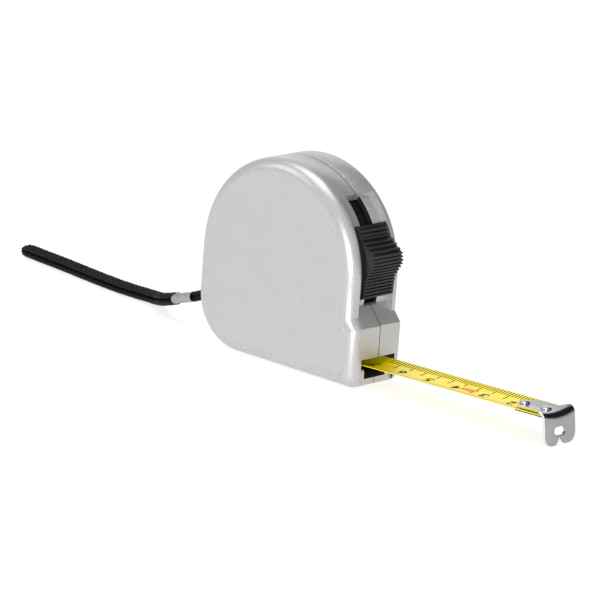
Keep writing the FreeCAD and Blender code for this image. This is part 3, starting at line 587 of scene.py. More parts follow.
strap_core = cord_core("strap_core", strap_line, 1.45 * MM, 0.38 * MM)
strap = make_object("wrist_loop", joined("wrist_loop", strap_braid, strap_core))
strap_low, strap_high = strap.bound_box[0], strap.bound_box[6]
print("strap braid box:", [tuple(round(c / MM, 1) for c in v) for v in (strap_low, strap_high)])

# %% [markdown]
# Screws, rivets and ribs are one shape set many times. The tree puts a copy of a piece on every
# point of a seed mesh, turned the same way.


# %% The copies tree
def copies_tree():
    tree, given = new_tree("copies_on_points", [
        ("Piece", "NodeSocketObject", None), ("Turn", "NodeSocketVector", None),
        ("Material", "NodeSocketMaterial", None),
    ])
    piece = add(tree, "GeometryNodeObjectInfo", {"Object": given["Piece"]}).outputs["Geometry"]
    turn = add(tree, "FunctionNodeEulerToRotation", {0: given["Turn"]})
    set_out = add(tree, "GeometryNodeInstanceOnPoints",
                  {0: given["Geometry"], "Instance": piece, "Rotation": turn.outputs[0]})
    end_tree(tree, set_out.outputs[0], given["Material"])
    return tree


copies_on_points = copies_tree()


def set_copies(name, piece_mesh, points, material, turn=(0.0, 0.0, 0.0)):
    """Copies of a piece's mesh on a list of points, as one plain mesh."""
    piece = make_object(name + "_piece", piece_mesh)
    seed = bpy.data.meshes.new(name + "_points")
    seed.from_pydata([tuple(p) for p in points], [], [])
    grown = run_tree(copies_on_points, name, {"Piece": piece, "Turn": turn, "Material": material}, seed)
    bpy.data.objects.remove(piece)
    return grown


# %% [markdown]
# The case halves have the right shape already. A copy of each gets its doubles merged and its
# flat faces made whole, so that its moulded edges can be rounded by a tenth of a millimetre and
# catch the light. The two halves stop just short of the middle, which leaves the fine dark joint
# line. Lacquer is sprayed on the outside only, so faces inside the case and on the mouth's walls
# are bare black ABS. The mouth's floor under the blade gets the same near-black as painted shade.

# %% Case halves
CASE_RADIUS, RIM_WALL, FACE_WALL = 29.5, 3.1, 1.6
NOSE_REACH, MOUTH_HALF_WIDTH, MOUTH_TOP, LIP_TOP = 31.9, 6.9, 8.2, 2.2
LIP_BACK, THROAT_BACK, THROAT_FRONT, INSIDE_LOW = 18.0, 20.0, 30.6, 1.75
THROAT_LOW, THROAT_HIGH = LIP_TOP + 0.1, MOUTH_TOP + 0.05
ON_WALL, ON_JOINT = 0.06, 0.005  # how far from a wall or the joint a face's middle may be
LEFT_DEPTH, RIGHT_DEPTH = 10.8, 9.8
EDGE_ROUNDING, SEAM_HALF_GAP = 0.1 * MM, 0.1 * MM


def is_inside(face, depth):
    """Whether a face's middle lies on the cavity's or the mouth's own walls; on the mouth's floor the
    near-black is painted shade.
    """
    x, y, z = face.center / MM
    above = z - CASE_RADIUS
    cavity_radius = CASE_RADIUS - RIM_WALL + ON_WALL
    in_mouth = abs(y) < MOUTH_HALF_WIDTH
    if abs(y) > depth - FACE_WALL + ON_WALL or z < INSIDE_LOW:
        return False
    # The mouth's floor under the blade: the near-black here is painted shade.
    if in_mouth and x > LIP_BACK and face.normal.z > 0.9 and abs(z - LIP_TOP) < ON_WALL:
        return True
    if math.hypot(x, above) < cavity_radius:
        return True
    if above < 0 and abs(x) < cavity_radius and x * face.normal.x + above * face.normal.z < 0:
        return True
    return in_mouth and THROAT_LOW < z < THROAT_HIGH and THROAT_BACK < x < THROAT_FRONT


def case_half(node, depth, side):
    """One half of the case, which reaches depth from the joint, lacquered outside and bare ABS inside, with
    painted shade on the mouth's floor.
    """
    work = bmesh.new()
    work.from_mesh(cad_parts[node].data)
    bmesh.ops.remove_doubles(work, verts=work.verts, dist=0.001 * MM)
    bmesh.ops.dissolve_limit(work, angle_limit=math.radians(0.5), verts=work.verts, edges=work.edges)
    for vert in work.verts:
        if abs(vert.co.y) < 0.01 * MM:
            vert.co.y = side * SEAM_HALF_GAP
    mesh = clean(work, node + "_skin")
    mesh = rounded(mesh, EDGE_ROUNDING, 2, 32.0)
    mesh.materials.clear()
    mesh.materials.append(silver)
    mesh.materials.append(bare_abs_and_painted_shade)
    for face in mesh.polygons:
        on_joint = abs(face.center.y - side * SEAM_HALF_GAP) < ON_JOINT * MM
        at_seam = on_joint and abs(face.normal.y) > 0.9
        face.material_index = 1 if at_seam or is_inside(face, depth) else 0
    return make_object(node + "_skin", mesh)


left_half = case_half("left_shell", LEFT_DEPTH, -1)
right_half = case_half("right_shell", RIGHT_DEPTH, 1)
print("case faces:", len(left_half.data.polygons), len(right_half.data.polygons))

# %% [markdown]
# The thumb lock is a black moulding: a curved base that slides in its track, and a hump with
# ribs right across it. The mould pulls straight out, so the ribs are level bars, and on the
# hump's slope they make a flight of small steps. The hump is a slab with its crest set back, and
# the bars are copies set on points down the crest.

# %% Thumb lock
TRACK_FLOOR = 28.25
LOCK_LOW, LOCK_HIGH = -9.5, 31.5
CREST = [
    (30.2, 25.0), (30.5, 28.8), (31.1, 31.0), (31.8, 32.3), (32.7, 33.8), (33.3, 35.2), (32.8, 37.9),
    (31.4, 38.9), (29.6, 40.2), (27.7, 41.6), (26.4, 44.6),
]
HUMP_WIDTH, BASE_WIDTH, BASE_THICKNESS = 11.7, 13.0, 1.0
RIB_PITCH, RIB_HEIGHT, RIB_SETBACK, RIB_DEPTH = 1.0, 0.52, 0.5, 1.5
FIRST_RIB = 0.6
STEM_LOW, STEM_HIGH, STEM_INNER, STEM_WIDTH = 6.0, 18.0, 24.7, 4.7
LOCK_ROUNDING = 0.15 * MM


def around_case(radius, angle):
    """(x, z) at an angle above +X, seen from the case's axis."""
    turn = math.radians(angle)
    return (radius * math.cos(turn), CASE_RADIUS + radius * math.sin(turn))


def crest_x(z):
    """How far forward the crest is at a height."""
    for (x0, z0), (x1, z1) in zip(CREST, CREST[1:]):
        if z0 <= z <= z1:
            return x0 + (x1 - x0) * (z - z0) / (z1 - z0)
    return CREST[-1][0] if z > CREST[-1][1] else CREST[0][0]


def arc(radius, low, high, steps):
    return [around_case(radius, low + (high - low) * i / steps) for i in range(steps + 1)]


def lock_slab(name, outline, width):
    return rounded(slab(name, outline, width), LOCK_ROUNDING, 3)


hump_outline = arc(TRACK_FLOOR, LOCK_LOW, LOCK_HIGH, 16) + [(x - RIB_SETBACK, z) for x, z in CREST[::-1]]
hump = lock_slab("lock_hump", hump_outline, HUMP_WIDTH)
base_outline = (arc(TRACK_FLOOR, LOCK_LOW, LOCK_HIGH, 24)
                + arc(TRACK_FLOOR + BASE_THICKNESS, LOCK_HIGH, LOCK_LOW, 24))
lock_base = lock_slab("lock_base", base_outline, BASE_WIDTH)
stem_outline = arc(TRACK_FLOOR + 0.3, STEM_LOW, STEM_HIGH, 6) + arc(STEM_INNER, STEM_HIGH, STEM_LOW, 6)
stem = slab("lock_stem", stem_outline, STEM_WIDTH)
bar_outline = [(x, z * RIB_HEIGHT / 2) for x, z in ((-RIB_DEPTH, -1), (0.0, -1), (0.0, 1), (-RIB_DEPTH, 1))]
rib_bar = rounded(slab("rib_bar", bar_outline, HUMP_WIDTH + 0.1), 0.1 * MM, 2)
rib_points = []
rib_z = CREST[0][1] + FIRST_RIB
while rib_z < CREST[-1][1] - 0.2:
    rib_points.append(Vector((crest_x(rib_z), 0.0, rib_z)) * MM)
    rib_z += RIB_PITCH
ribs = set_copies("lock_ribs", rib_bar, rib_points, black_abs)
for mesh in (hump, lock_base, stem):
    mesh.materials.append(black_abs)
lock_button = make_object("thumb_lock", joined("thumb_lock", hump, lock_base, stem, ribs))
smooth(lock_button.data)
print("lock ribs:", len(rib_points))

# %% [markdown]
# The blade is a strip 12.5 mm wide and 0.16 mm thick, rolled to a hollow section so that it
# stays straight when it is drawn out. Its own frame has x along the blade from the nose. The
# part that winds in is one piece, and the last 15 mm, which the hook is riveted to, is another.

# %% Blade strips
BLADE_WIDTH, BLADE_THICKNESS, CUP_RADIUS = 12.5, 0.16, 22.0
MOUTH_HEIGHT, BLADE_RISE, BLADE_END, TIP_LENGTH = 5.7, 1.6, 96.9, 15.0
blade_frame = (Matrix.Translation(Vector((NOSE_REACH, 0.0, MOUTH_HEIGHT)) * MM)
               @ Matrix.Rotation(math.radians(-BLADE_RISE), 4, "Y"))
end_x = (BLADE_END - NOSE_REACH) / math.cos(math.radians(BLADE_RISE))
tip_x = end_x - TIP_LENGTH
ACROSS = 24  # steps in a section


def cup(y, radius=CUP_RADIUS):
    """How far the hollow section rises at y, in millimetres."""
    return radius - math.sqrt(radius * radius - y * y)


def strip_ring(radius):
    """One closed section of the strip, (y, z): along its top, then back along its underside."""
    steps = [BLADE_WIDTH * (i / ACROSS - 0.5) for i in range(ACROSS + 1)]
    top = [(y, cup(y, radius) + BLADE_THICKNESS) for y in steps]
    under = [(y, cup(y, radius)) for y in reversed(steps)]
    return top + under


def straight_ring(x, radius=CUP_RADIUS):
    return [blade_frame @ (Vector((x, y, z)) * MM) for y, z in strip_ring(radius)]


def tilted_ring(x, z, pitch, radius):
    """A section inside the case, at a point of the side view, on a line that falls forward."""
    turn = Matrix.Translation(Vector((x, 0.0, z)) * MM) @ Matrix.Rotation(math.radians(pitch), 4, "Y")
    return [turn @ (Vector((0.0, y, up)) * MM) for y, up in strip_ring(radius)]


# Inside the case: x, z, pitch and section radius, flatter the nearer it is to the reel.
INNER_SECTIONS = [(-2.0, 9.95, 8.0, 600.0), (7.6, 8.4, 8.4, 160.0), (20.4, 6.3, 6.0, 50.0)]
run_rings = [tilted_ring(*section) for section in INNER_SECTIONS]
run_rings += [straight_ring(x) for x in (-4.5, 0.0, 10.0, 20.0, 30.0, 40.0, tip_x)]
run_strip = loft("blade_run_strip", run_rings)
tip_strip = loft("blade_tip_strip", [straight_ring(x) for x in (tip_x, tip_x + 7.0, end_x)])
for strip in (run_strip, tip_strip):
    strip.materials.append(yellow)
    smooth(strip, 40.0)

# %% [markdown]
# The scale is printed from the hook: a mark each millimetre on the far edge, longer at five and
# longest at ten. The tree makes a row of points, one for each millimetre, gives each a bar as
# long as its number asks for, and then lifts every corner on to the hollow section.


# %% The printed scale tree
def scale_tree():
    tree, given = new_tree("printed_scale", [
        ("First Mark", "NodeSocketInt", 0), ("Count", "NodeSocketInt", 50), ("Zero", "NodeSocketFloat", 0.0),
        ("Pitch", "NodeSocketFloat", 1.0 * MM), ("Line Width", "NodeSocketFloat", 0.36 * MM),
        ("Short", "NodeSocketFloat", 2.4 * MM), ("Middle", "NodeSocketFloat", 3.9 * MM),
        ("Long", "NodeSocketFloat", 5.2 * MM), ("Edge", "NodeSocketFloat", 6.15 * MM),
        ("Ink Height", "NodeSocketFloat", 0.02 * MM), ("Surface", "NodeSocketFloat", 0.16 * MM),
        ("Cup Radius", "NodeSocketFloat", 22.0 * MM), ("Ink", "NodeSocketMaterial", None),
    ])
    row = add(tree, "GeometryNodeMeshLine", {"Count": given["Count"]})
    mark = calc(tree, "ADD", add(tree, "GeometryNodeInputIndex").outputs[0], given["First Mark"])
    length = given["Short"]
    for every, longer in ((5.0, given["Middle"]), (10.0, given["Long"])):
        here = add(tree, "FunctionNodeCompare", {0: calc(tree, "MODULO", mark, every), 1: 0.5},
                   operation="LESS_THAN")
        length = add(tree, "GeometryNodeSwitch", {0: here.outputs[0], 1: length, 2: longer},
                     input_type="FLOAT").outputs[0]
    x = calc(tree, "SUBTRACT", given["Zero"], calc(tree, "MULTIPLY", mark, given["Pitch"]))
    middle = calc(tree, "MULTIPLY_ADD", length, -0.5, given["Edge"])
    place = add(tree, "ShaderNodeCombineXYZ", {0: x, 1: middle, 2: given["Surface"]})
    set_row = add(tree, "GeometryNodeSetPosition", {0: row.outputs[0], "Position": place.outputs[0]})
    size = add(tree, "ShaderNodeCombineXYZ", {0: given["Line Width"], 1: 1.0, 2: given["Ink Height"]})
    bar = add(tree, "GeometryNodeMeshCube", {"Size": size.outputs[0], "Vertices Y": 12})
    stretch = add(tree, "ShaderNodeCombineXYZ", {0: 1.0, 1: length, 2: 1.0})
    bars = add(tree, "GeometryNodeInstanceOnPoints",
               {0: set_row.outputs[0], "Instance": bar.outputs[0], "Scale": stretch.outputs[0]})
    real = add(tree, "GeometryNodeRealizeInstances", {0: bars.outputs[0]})
    at = add(tree, "GeometryNodeInputPosition").outputs[0]
    y = add(tree, "ShaderNodeSeparateXYZ", {0: at}).outputs[1]
    radius = given["Cup Radius"]
    inside = calc(tree, "SUBTRACT", calc(tree, "POWER", radius, 2.0), calc(tree, "POWER", y, 2.0))
    up = add(tree, "ShaderNodeCombineXYZ", {2: calc(tree, "SUBTRACT", radius, calc(tree, "SQRT", inside))})
    cupped = add(tree, "GeometryNodeSetPosition", {0: real.outputs[0], "Offset": up.outputs[0]})
    end_tree(tree, cupped.outputs[0], given["Ink"])
    return tree


printed_scale = scale_tree()
ZERO_X = end_x - 0.1
MARK_WIDTH, SHORT_MARK, MIDDLE_MARK, LONG_MARK, MARK_EDGE, MARK_LIFT = 0.36, 2.4, 3.9, 5.2, 6.15, 0.005
MARKS_SHOWN = 65  # those from the hook to the mouth; none is printed inside the case
PRINT_RADIUS = CUP_RADIUS - BLADE_THICKNESS  # the hollow section's radius at its top


def marks(name, first, count):
    """A row of millimetre marks on the blade, counted from the hook."""
    grown = run_tree(printed_scale, name, {
        "First Mark": first, "Count": count, "Zero": ZERO_X * MM, "Line Width": MARK_WIDTH * MM,
        "Short": SHORT_MARK * MM, "Middle": MIDDLE_MARK * MM, "Long": LONG_MARK * MM, "Edge": MARK_EDGE * MM,
        "Surface": (BLADE_THICKNESS + MARK_LIFT) * MM, "Cup Radius": PRINT_RADIUS * MM, "Ink": black_ink,
    })
    grown.transform(blade_frame)
    return grown


first_on_run = math.ceil(ZERO_X - tip_x)
tip_marks = marks("tip_marks", 0, first_on_run)
run_marks = marks("run_marks", first_on_run, MARKS_SHOWN - first_on_run)

# %% [markdown]
# The numbers are set in Blender's own plain typeface. Each is made a mesh, cut into narrow
# bands and lifted on to the hollow section like the marks. They read from the far side.

# %% Numbers
DIGIT_HEIGHT, DIGIT_LINE, DIGIT_STRETCH, DIGIT_PLACE = 3.3, -0.25, 1.2, 4.45
MARKED_CAPACITY, CAPACITY_PLACE, CAPACITY_LINE, CAPACITY_HEIGHT, CAPACITY_STRETCH = "3m", 31.4, 0.3, 3.0, 1.05
TYPE_SIZE = 1.38  # the typeface's size for figures one unit high
TEXT_BAND, TEXT_LIFT, TEXT_INK, STROKE_SPREAD = 0.4, 0.008, 0.012, 0.09


def printed_text(words, x, y, height, ink, stretch=DIGIT_STRETCH):
    """Text that reads along -X with its top towards -Y, as a mesh on the blade."""
    letters = bpy.data.curves.new("letters", "FONT")
    letters.body = words
    letters.size = height * TYPE_SIZE * MM
    letters.align_x = letters.align_y = "CENTER"
    letters.extrude = TEXT_INK * MM
    letters.offset = STROKE_SPREAD * MM
    maker = bpy.data.objects.new("letters", letters)
    scene.collection.objects.link(maker)
    flat = plain_mesh(maker)
    bpy.data.objects.remove(maker)
    wide = Matrix.Diagonal((stretch, 1.0, 1.0, 1.0))
    flat.transform(Matrix.Translation(Vector((x, y, 0.0)) * MM) @ Matrix.Rotation(math.pi, 4, "Z") @ wide)
    work = bmesh.new()
    work.from_mesh(flat)
    bmesh.ops.remove_doubles(work, verts=work.verts, dist=MERGE)
    for step in range(-6, 7):
        cut = Vector((0.0, y + step * TEXT_BAND, 0.0)) * MM
        bmesh.ops.bisect_plane(work, geom=work.verts[:] + work.edges[:] + work.faces[:], plane_co=cut,
                               plane_no=(0.0, 1.0, 0.0))
    for vert in work.verts:
        vert.co.z += (cup(vert.co.y / MM, PRINT_RADIUS) + BLADE_THICKNESS + TEXT_LIFT) * MM
    mesh = bpy.data.meshes.new("printed_" + words)
    work.to_mesh(mesh)
    work.free()
    mesh.materials.append(ink)
    mesh.transform(blade_frame)
    return mesh


def centimetre(cm):
    return printed_text(str(cm), ZERO_X - 10.0 * cm + DIGIT_PLACE, DIGIT_LINE, DIGIT_HEIGHT, black_ink)


numbers = [centimetre(cm) for cm in range(2, 8)]
capacity = printed_text(MARKED_CAPACITY, ZERO_X - CAPACITY_PLACE, CAPACITY_LINE, CAPACITY_HEIGHT, red_ink,
                        CAPACITY_STRETCH)
first_number = centimetre(1)


GUIDE_LINE, GUIDE_HALF_WIDTH, GUIDE_GAP = -4.3, 0.07, 0.01


def guide_line(name, x0, x1):
    """The thin line along the near edge of the print."""
    corners = []
    for side, lift in ((-1, 0.004), (1, 0.004), (1, 0.02), (-1, 0.02)):
        y = GUIDE_LINE + side * GUIDE_HALF_WIDTH
        corners.append((y, cup(y, PRINT_RADIUS) + BLADE_THICKNESS + lift))
    line = loft(name, [[blade_frame @ (Vector((x, y, z)) * MM) for y, z in corners] for x in (x0, x1)])
    line.materials.append(black_ink)
    return line


guides = [guide_line("run_guide", -2.0, tip_x - GUIDE_GAP),
          guide_line("tip_guide", tip_x + GUIDE_GAP, ZERO_X)]

# %% Join the print to the blade
run_mesh = joined("drawn_blade", run_strip, run_marks, guides[0], capacity, *numbers)
blade_run = make_object("drawn_blade", run_mesh)
tip_mesh = joined("riveted_blade_end", tip_strip, tip_marks, guides[1], first_number)
blade_tip = make_object("riveted_blade_end", tip_mesh)
print("blade faces:", len(blade_run.data.polygons), len(blade_tip.data.polygons))

# %% [markdown]
# The end hook is stamped flat and then bent, and it is made here the same way. The flat blank is
# a filled outline with holes and softly rounded edges. It is cut into narrow bands where it will
# bend, and every point is then moved: straight along the tongue, round the bend, and down the
# leaning plate. The press also rolls the tongue to the blade's hollow section.

# %% End hook
TONGUE_WIDTH, TONGUE_LENGTH, TONGUE_CORNER = 8.4, 12.6, (1.7, 2.2)
PLATE_WIDTH, PLATE_DROP, LOBE_RADIUS = 12.9, 8.6, 2.9
HOOK_THICKNESS, HOOK_LEAN, BEND_RADIUS, HOOK_EDGE = 0.82, 8.0, 1.6, 0.09
SHOULDER_BACK, SHOULDER_LENGTH, SHOULDER_STEPS = 2.5, 2.5, 8
# Edges further out than this get the lighter nickel, a painted highlight.
HIGHLIGHT_BEYOND = 2.6  # the sheared edges that show are further out than this; the slot's are not
PLATE_GAP, RIVET_INSET, RIVET_PITCH, RIVET_RADIUS, HOOK_PLAY = 0.25, 3.8, 7.6, 0.8, 0.8
PLATE_BEYOND, PLATE_MIDDLE, TONGUE_LIFT = 0.2, 0.45, 0.4
SLOT_PLACE, SLOT_RADIUS, SLOT_HALF_LENGTH, RIVET_CLEARANCE = 0.47, 1.15, 1.15, 0.06
# The V notch between the lobes: (how far up from the bottom, how far out), then its round end.
NOTCH_SIDE, NOTCH_TOP, NOTCH_RADIUS = [(0.0, 2.0), (0.25, 1.65), (1.3, 0.75)], 1.5, 0.5
TONGUE_CUP = CUP_RADIUS - 0.8  # the tongue's hollow section lies inside the blade's
rivet_x = [end_x - RIVET_INSET - RIVET_PITCH * k for k in (0, 1)]
plate_x = end_x + PLATE_BEYOND
tongue_middle = BLADE_THICKNESS + PLATE_GAP + TONGUE_LIFT
bend_start = plate_x + PLATE_MIDDLE - BEND_RADIUS
tongue_start = plate_x - TONGUE_LENGTH
straight = bend_start - tongue_start
bend_angle = math.radians(90.0 - HOOK_LEAN)
bend_length = BEND_RADIUS * bend_angle
plate_length = PLATE_DROP - BEND_RADIUS * math.sin(bend_angle)


def corner_arc(x, y, radius, start, end, steps=8):
    """Points round an arc, from one angle to another."""
    turns = [math.radians(start + (end - start) * i / steps) for i in range(steps + 1)]
    return [(x + radius * math.cos(turn), y + radius * math.sin(turn)) for turn in turns]


def obround(x, y, half_length, radius, along_x=True):
    """A hole with round ends, as a ring of points."""
    dx, dy = (half_length, 0.0) if along_x else (0.0, half_length)
    turn = 0 if along_x else 90
    return (corner_arc(x + dx, y + dy, radius, turn - 90, turn + 90)
            + corner_arc(x - dx, y - dy, radius, turn + 90, turn + 270))


def blank_outline():
    """The flat blank: one side from the tongue's end to the notch, then the same mirrored."""
    half, wide = TONGUE_WIDTH / 2, PLATE_WIDTH / 2
    bottom = straight + bend_length + plate_length
    shoulder = straight - SHOULDER_BACK
    corner_s, corner_w = TONGUE_CORNER
    side = [(corner_s, half), (shoulder, half)]
    for k in range(1, SHOULDER_STEPS + 1):
        u = k / SHOULDER_STEPS
        side.append((shoulder + SHOULDER_LENGTH * u, half + (wide - half) * (3 * u * u - 2 * u ** 3)))
    side += [(bottom - LOBE_RADIUS, wide)]
    side += corner_arc(bottom - LOBE_RADIUS, wide - LOBE_RADIUS, LOBE_RADIUS, 90, 0)[1:]
    side += [(bottom - up, out) for up, out in NOTCH_SIDE]
    side += corner_arc(bottom - NOTCH_TOP, 0.0, NOTCH_RADIUS, 120, 180, 5)
    mirrored = [(s, -w) for s, w in reversed(side[:-1])]
    return [(0.0, half - corner_w)] + side + mirrored + [(0.0, corner_w - half)]


def filled_blank(name, rings, thickness, edge):
    """A filled flat outline with holes, a thickness and rounded edges, as a mesh."""
    curve = bpy.data.curves.new(name, "CURVE")
    curve.dimensions = "2D"
    curve.fill_mode = "BOTH"
    curve.extrude = (thickness / 2 - edge) * MM
    curve.bevel_depth = edge * MM
    curve.bevel_resolution = 2
    curve.offset = -edge * MM
    for ring in rings:
        spline = curve.splines.new("POLY")
        spline.points.add(len(ring) - 1)
        for knot, (s, w) in zip(spline.points, ring):
            knot.co = (s * MM, w * MM, 0.0, 1.0)
        spline.use_cyclic_u = True
    maker = bpy.data.objects.new(name, curve)
    scene.collection.objects.link(maker)
    flat = plain_mesh(maker)
    bpy.data.objects.remove(maker)
    return flat


def banded(mesh, name, cuts_x, cuts_y):
    """The mesh cut along lines across x and y, so that it can bend."""
    work = bmesh.new()
    work.from_mesh(mesh)
    bmesh.ops.remove_doubles(work, verts=work.verts, dist=MERGE)
    for cuts, normal in ((cuts_x, Vector((1, 0, 0))), (cuts_y, Vector((0, 1, 0)))):
        for at in cuts:
            bmesh.ops.bisect_plane(work, geom=work.verts[:] + work.edges[:] + work.faces[:],
                                   plane_co=normal * at * MM, plane_no=normal)
    return clean(work, name)


def hook_point(s, w, t):
    """Where a point of the blank ends up: s along it, w across, t above its middle surface."""
    roll = w * w / (2 * TONGUE_CUP)
    if s <= straight:
        return Vector((tongue_start + s, w, tongue_middle + t + roll))
    turned = min((s - straight) / BEND_RADIUS, bend_angle)
    down = max(0.0, s - straight - bend_length)
    x = bend_start + (BEND_RADIUS + t) * math.sin(turned) + down * math.cos(bend_angle)
    z = tongue_middle - BEND_RADIUS + (BEND_RADIUS + t) * math.cos(turned) - down * math.sin(bend_angle)
    fade = max(0.0, 1.0 - down / (0.9 * plate_length))  # the plate flattens towards its lobes
    return Vector((x, w, z + roll * fade))


slot_s = straight + bend_length + SLOT_PLACE * plate_length
hook_rings = [blank_outline(), obround(slot_s, 0.0, SLOT_HALF_LENGTH, SLOT_RADIUS, along_x=False)]
hook_rings += [obround(x - tongue_start - HOOK_PLAY / 2, 0.0, HOOK_PLAY / 2, RIVET_RADIUS + RIVET_CLEARANCE)
               for x in rivet_x]
bend_cuts = [straight + bend_length * k / 10 for k in range(11)]
plate_cuts = [straight + bend_length + plate_length * k / 7 for k in range(1, 7)]
hook_blank = filled_blank("hook_blank", hook_rings, HOOK_THICKNESS, HOOK_EDGE)
width_cuts = [k * 0.8 for k in range(-8, 9)]
hook_mesh = banded(hook_blank, "end_hook_plate", bend_cuts + plate_cuts, width_cuts)
# Faces on the outer sheared edges get the lighter nickel: a painted highlight.
painted_highlight_edges = [face.index for face in hook_mesh.polygons
              if abs(face.normal.z) < 0.8 and abs(face.center.y) > HIGHLIGHT_BEYOND * MM]
for vert in hook_mesh.vertices:
    vert.co = blade_frame @ (hook_point(vert.co.x / MM, vert.co.y / MM, vert.co.z / MM) * MM)
smooth(hook_mesh, 30.0)
hook = make_object("end_hook_plate", hook_mesh, nickel, nickel_painted_edge_highlight)
for index in painted_highlight_edges:
    hook_mesh.polygons[index].material_index = 1
print("hook faces:", len(hook_mesh.polygons))

# %% [markdown]
# Under the blade a thinner plate takes the rivets' other heads. It is another stamped blank,
# rolled to the same section. The rivets are turned, with a domed head above and a flat one
# below, and are set on two points by the copies tree.

# %% Backing plate and rivets
BACKING_WIDTH, BACKING_LENGTH, BACKING_THICKNESS, HEAD_SEAT = 8.6, 11.5, 0.5, 0.45
BACKING_CORNER, BACKING_TOP, BACKING_BACK, BACKING_EDGE = 1.2, -0.05, 0.6, 0.06
backing_start = plate_x - BACKING_BACK - BACKING_LENGTH
backing_half = BACKING_WIDTH / 2
inset = backing_half - BACKING_CORNER
backing_ring = (corner_arc(BACKING_CORNER, inset, BACKING_CORNER, 180, 90, 4)
                + [(BACKING_LENGTH, backing_half), (BACKING_LENGTH, -backing_half)]
                + corner_arc(BACKING_CORNER, -inset, BACKING_CORNER, 270, 180, 4))
backing_blank = filled_blank("backing_blank", [backing_ring], BACKING_THICKNESS, BACKING_EDGE)
backing_cuts = [k * 0.6 for k in range(-7, 8)]
backing_mesh = banded(backing_blank, "backing_plate", [], backing_cuts)
for vert in backing_mesh.vertices:
    s, w, t = vert.co / MM
    height = BACKING_TOP - BACKING_THICKNESS / 2 + t + cup(w)
    vert.co = blade_frame @ (Vector((backing_start + s, w, height)) * MM)
smooth(backing_mesh, 30.0)
backing = make_object("backing_plate", backing_mesh, dark_steel)

head_low = tongue_middle + HEAD_SEAT
under = BACKING_TOP - BACKING_THICKNESS
# The rivet's (radius, height), from the flat head below to the dome above.
rivet_profile = [
    (0.05, under - 0.42), (0.9, under - 0.40), (1.25, under - 0.28), (1.35, under - 0.02),
    (RIVET_RADIUS, under), (RIVET_RADIUS, head_low), (1.5, head_low + 0.02), (1.52, head_low + 0.12),
    (1.42, head_low + 0.3), (1.18, head_low + 0.46), (0.8, head_low + 0.58), (0.4, head_low + 0.64),
    (0.05, head_low + 0.66),
]
rivet_points = [Vector((x, 0, 0)) * MM for x in rivet_x]
rivets_mesh = set_copies("hook_rivet_pair", lathe("rivet", rivet_profile), rivet_points, rivet_steel)
rivets_mesh.transform(blade_frame)
smooth(rivets_mesh, 50.0)
rivets = make_object("hook_rivet_pair", rivets_mesh)

# %% [markdown]
# Four pan-head screws hold the halves together from the far side. One is turned on a lathe, its
# cross recess is cut with a Boolean, and the copies tree sets it in the four wells.

# %% Case screws
SCREW_SPOTS = [(0.83, 53.38), (-21.93, 39.73), (-18.5, 6.7), (27.3, 13.6)]
SCREW_HEAD_FACE, SCREW_LENGTH = 7.8, 13.5
THREAD_PITCH, THREAD_START, HEAD_BOTTOM = 0.9, -1.6, -1.5


def screw_mesh():
    """A screw along Z with its head's top at zero."""
    profile = [(0.05, 0.0), (1.2, -0.06), (1.7, -0.28), (1.95, -0.75), (2.0, -1.3), (1.95, HEAD_BOTTOM),
               (1.0, HEAD_BOTTOM - 0.02)]
    for k in range(int((SCREW_LENGTH - 2.5) / THREAD_PITCH)):
        low = THREAD_START - THREAD_PITCH * k
        profile += [(0.85, low - 0.1), (1.1, low - 0.4), (0.85, low - 0.7)]
    tip = HEAD_BOTTOM - SCREW_LENGTH
    profile += [(0.8, tip + 1.6), (0.05, tip)]
    whole = make_object("screw", lathe("screw", profile[::-1], 32))
    cross = []
    for turn in (0.0, math.pi / 2):
        rings = [[Vector((x * long, y * wide, z)) * MM for x, y in ((-1, -1), (1, -1), (1, 1), (-1, 1))]
                 for z, long, wide in ((-0.95, 0.55, 0.18), (0.2, 1.25, 0.3))]
        wing = loft("wing", rings)
        wing.transform(Matrix.Rotation(turn, 4, "Z"))
        cross.append(make_object("wing", wing))
    for wing in cross:
        cutter = whole.modifiers.new("recess", "BOOLEAN")
        cutter.operation = "DIFFERENCE"
        cutter.object = wing
    made = plain_mesh(whole)
    for spare in [whole] + cross:
        bpy.data.objects.remove(spare)
    return made


screw_points = [Vector((x, SCREW_HEAD_FACE, z)) * MM for x, z in SCREW_SPOTS]
screws_mesh = set_copies("pan_head_screws", screw_mesh(), screw_points, zinc, (-math.pi / 2, 0.0, 0.0))
smooth(screws_mesh, 30.0)
screws = make_object("pan_head_screws", screws_mesh)

# %% [markdown]
# The crimp is a short sleeve of sheet steel, pressed to an oblong round the cord's ends. Its
# skin is lofted along the outside and back along the inside, with rolled lips and two pressed
# grooves.

# %% Crimp sleeve
CRIMP_LENGTH, CRIMP_WIDTH, CRIMP_HEIGHT, CRIMP_WALL = 7.6, 4.2, 2.95, 0.25
CRIMP_STEPS, CRIMP_SQUARENESS = 40, 2.2
crimp_frame = (Matrix.Translation(crimp_back * MM)
               @ Matrix.Rotation(math.radians(-CRIMP_SLOPE), 4, "Y"))


def crimp_ring(x, grow):
    """An oblong section of the sleeve at x, grown or shrunk by a wall."""
    height, width = CRIMP_HEIGHT / 2 + grow, CRIMP_WIDTH / 2 + grow
    ring = []
    for i in range(CRIMP_STEPS):
        turn = math.tau * i / CRIMP_STEPS
        side = max(-1.0, min(1.0, math.cos(turn) * CRIMP_SQUARENESS))
        y = (width - height) * side + height * math.cos(turn)
        ring.append(crimp_frame @ (Vector((x, y, height * math.sin(turn))) * MM))
    return ring


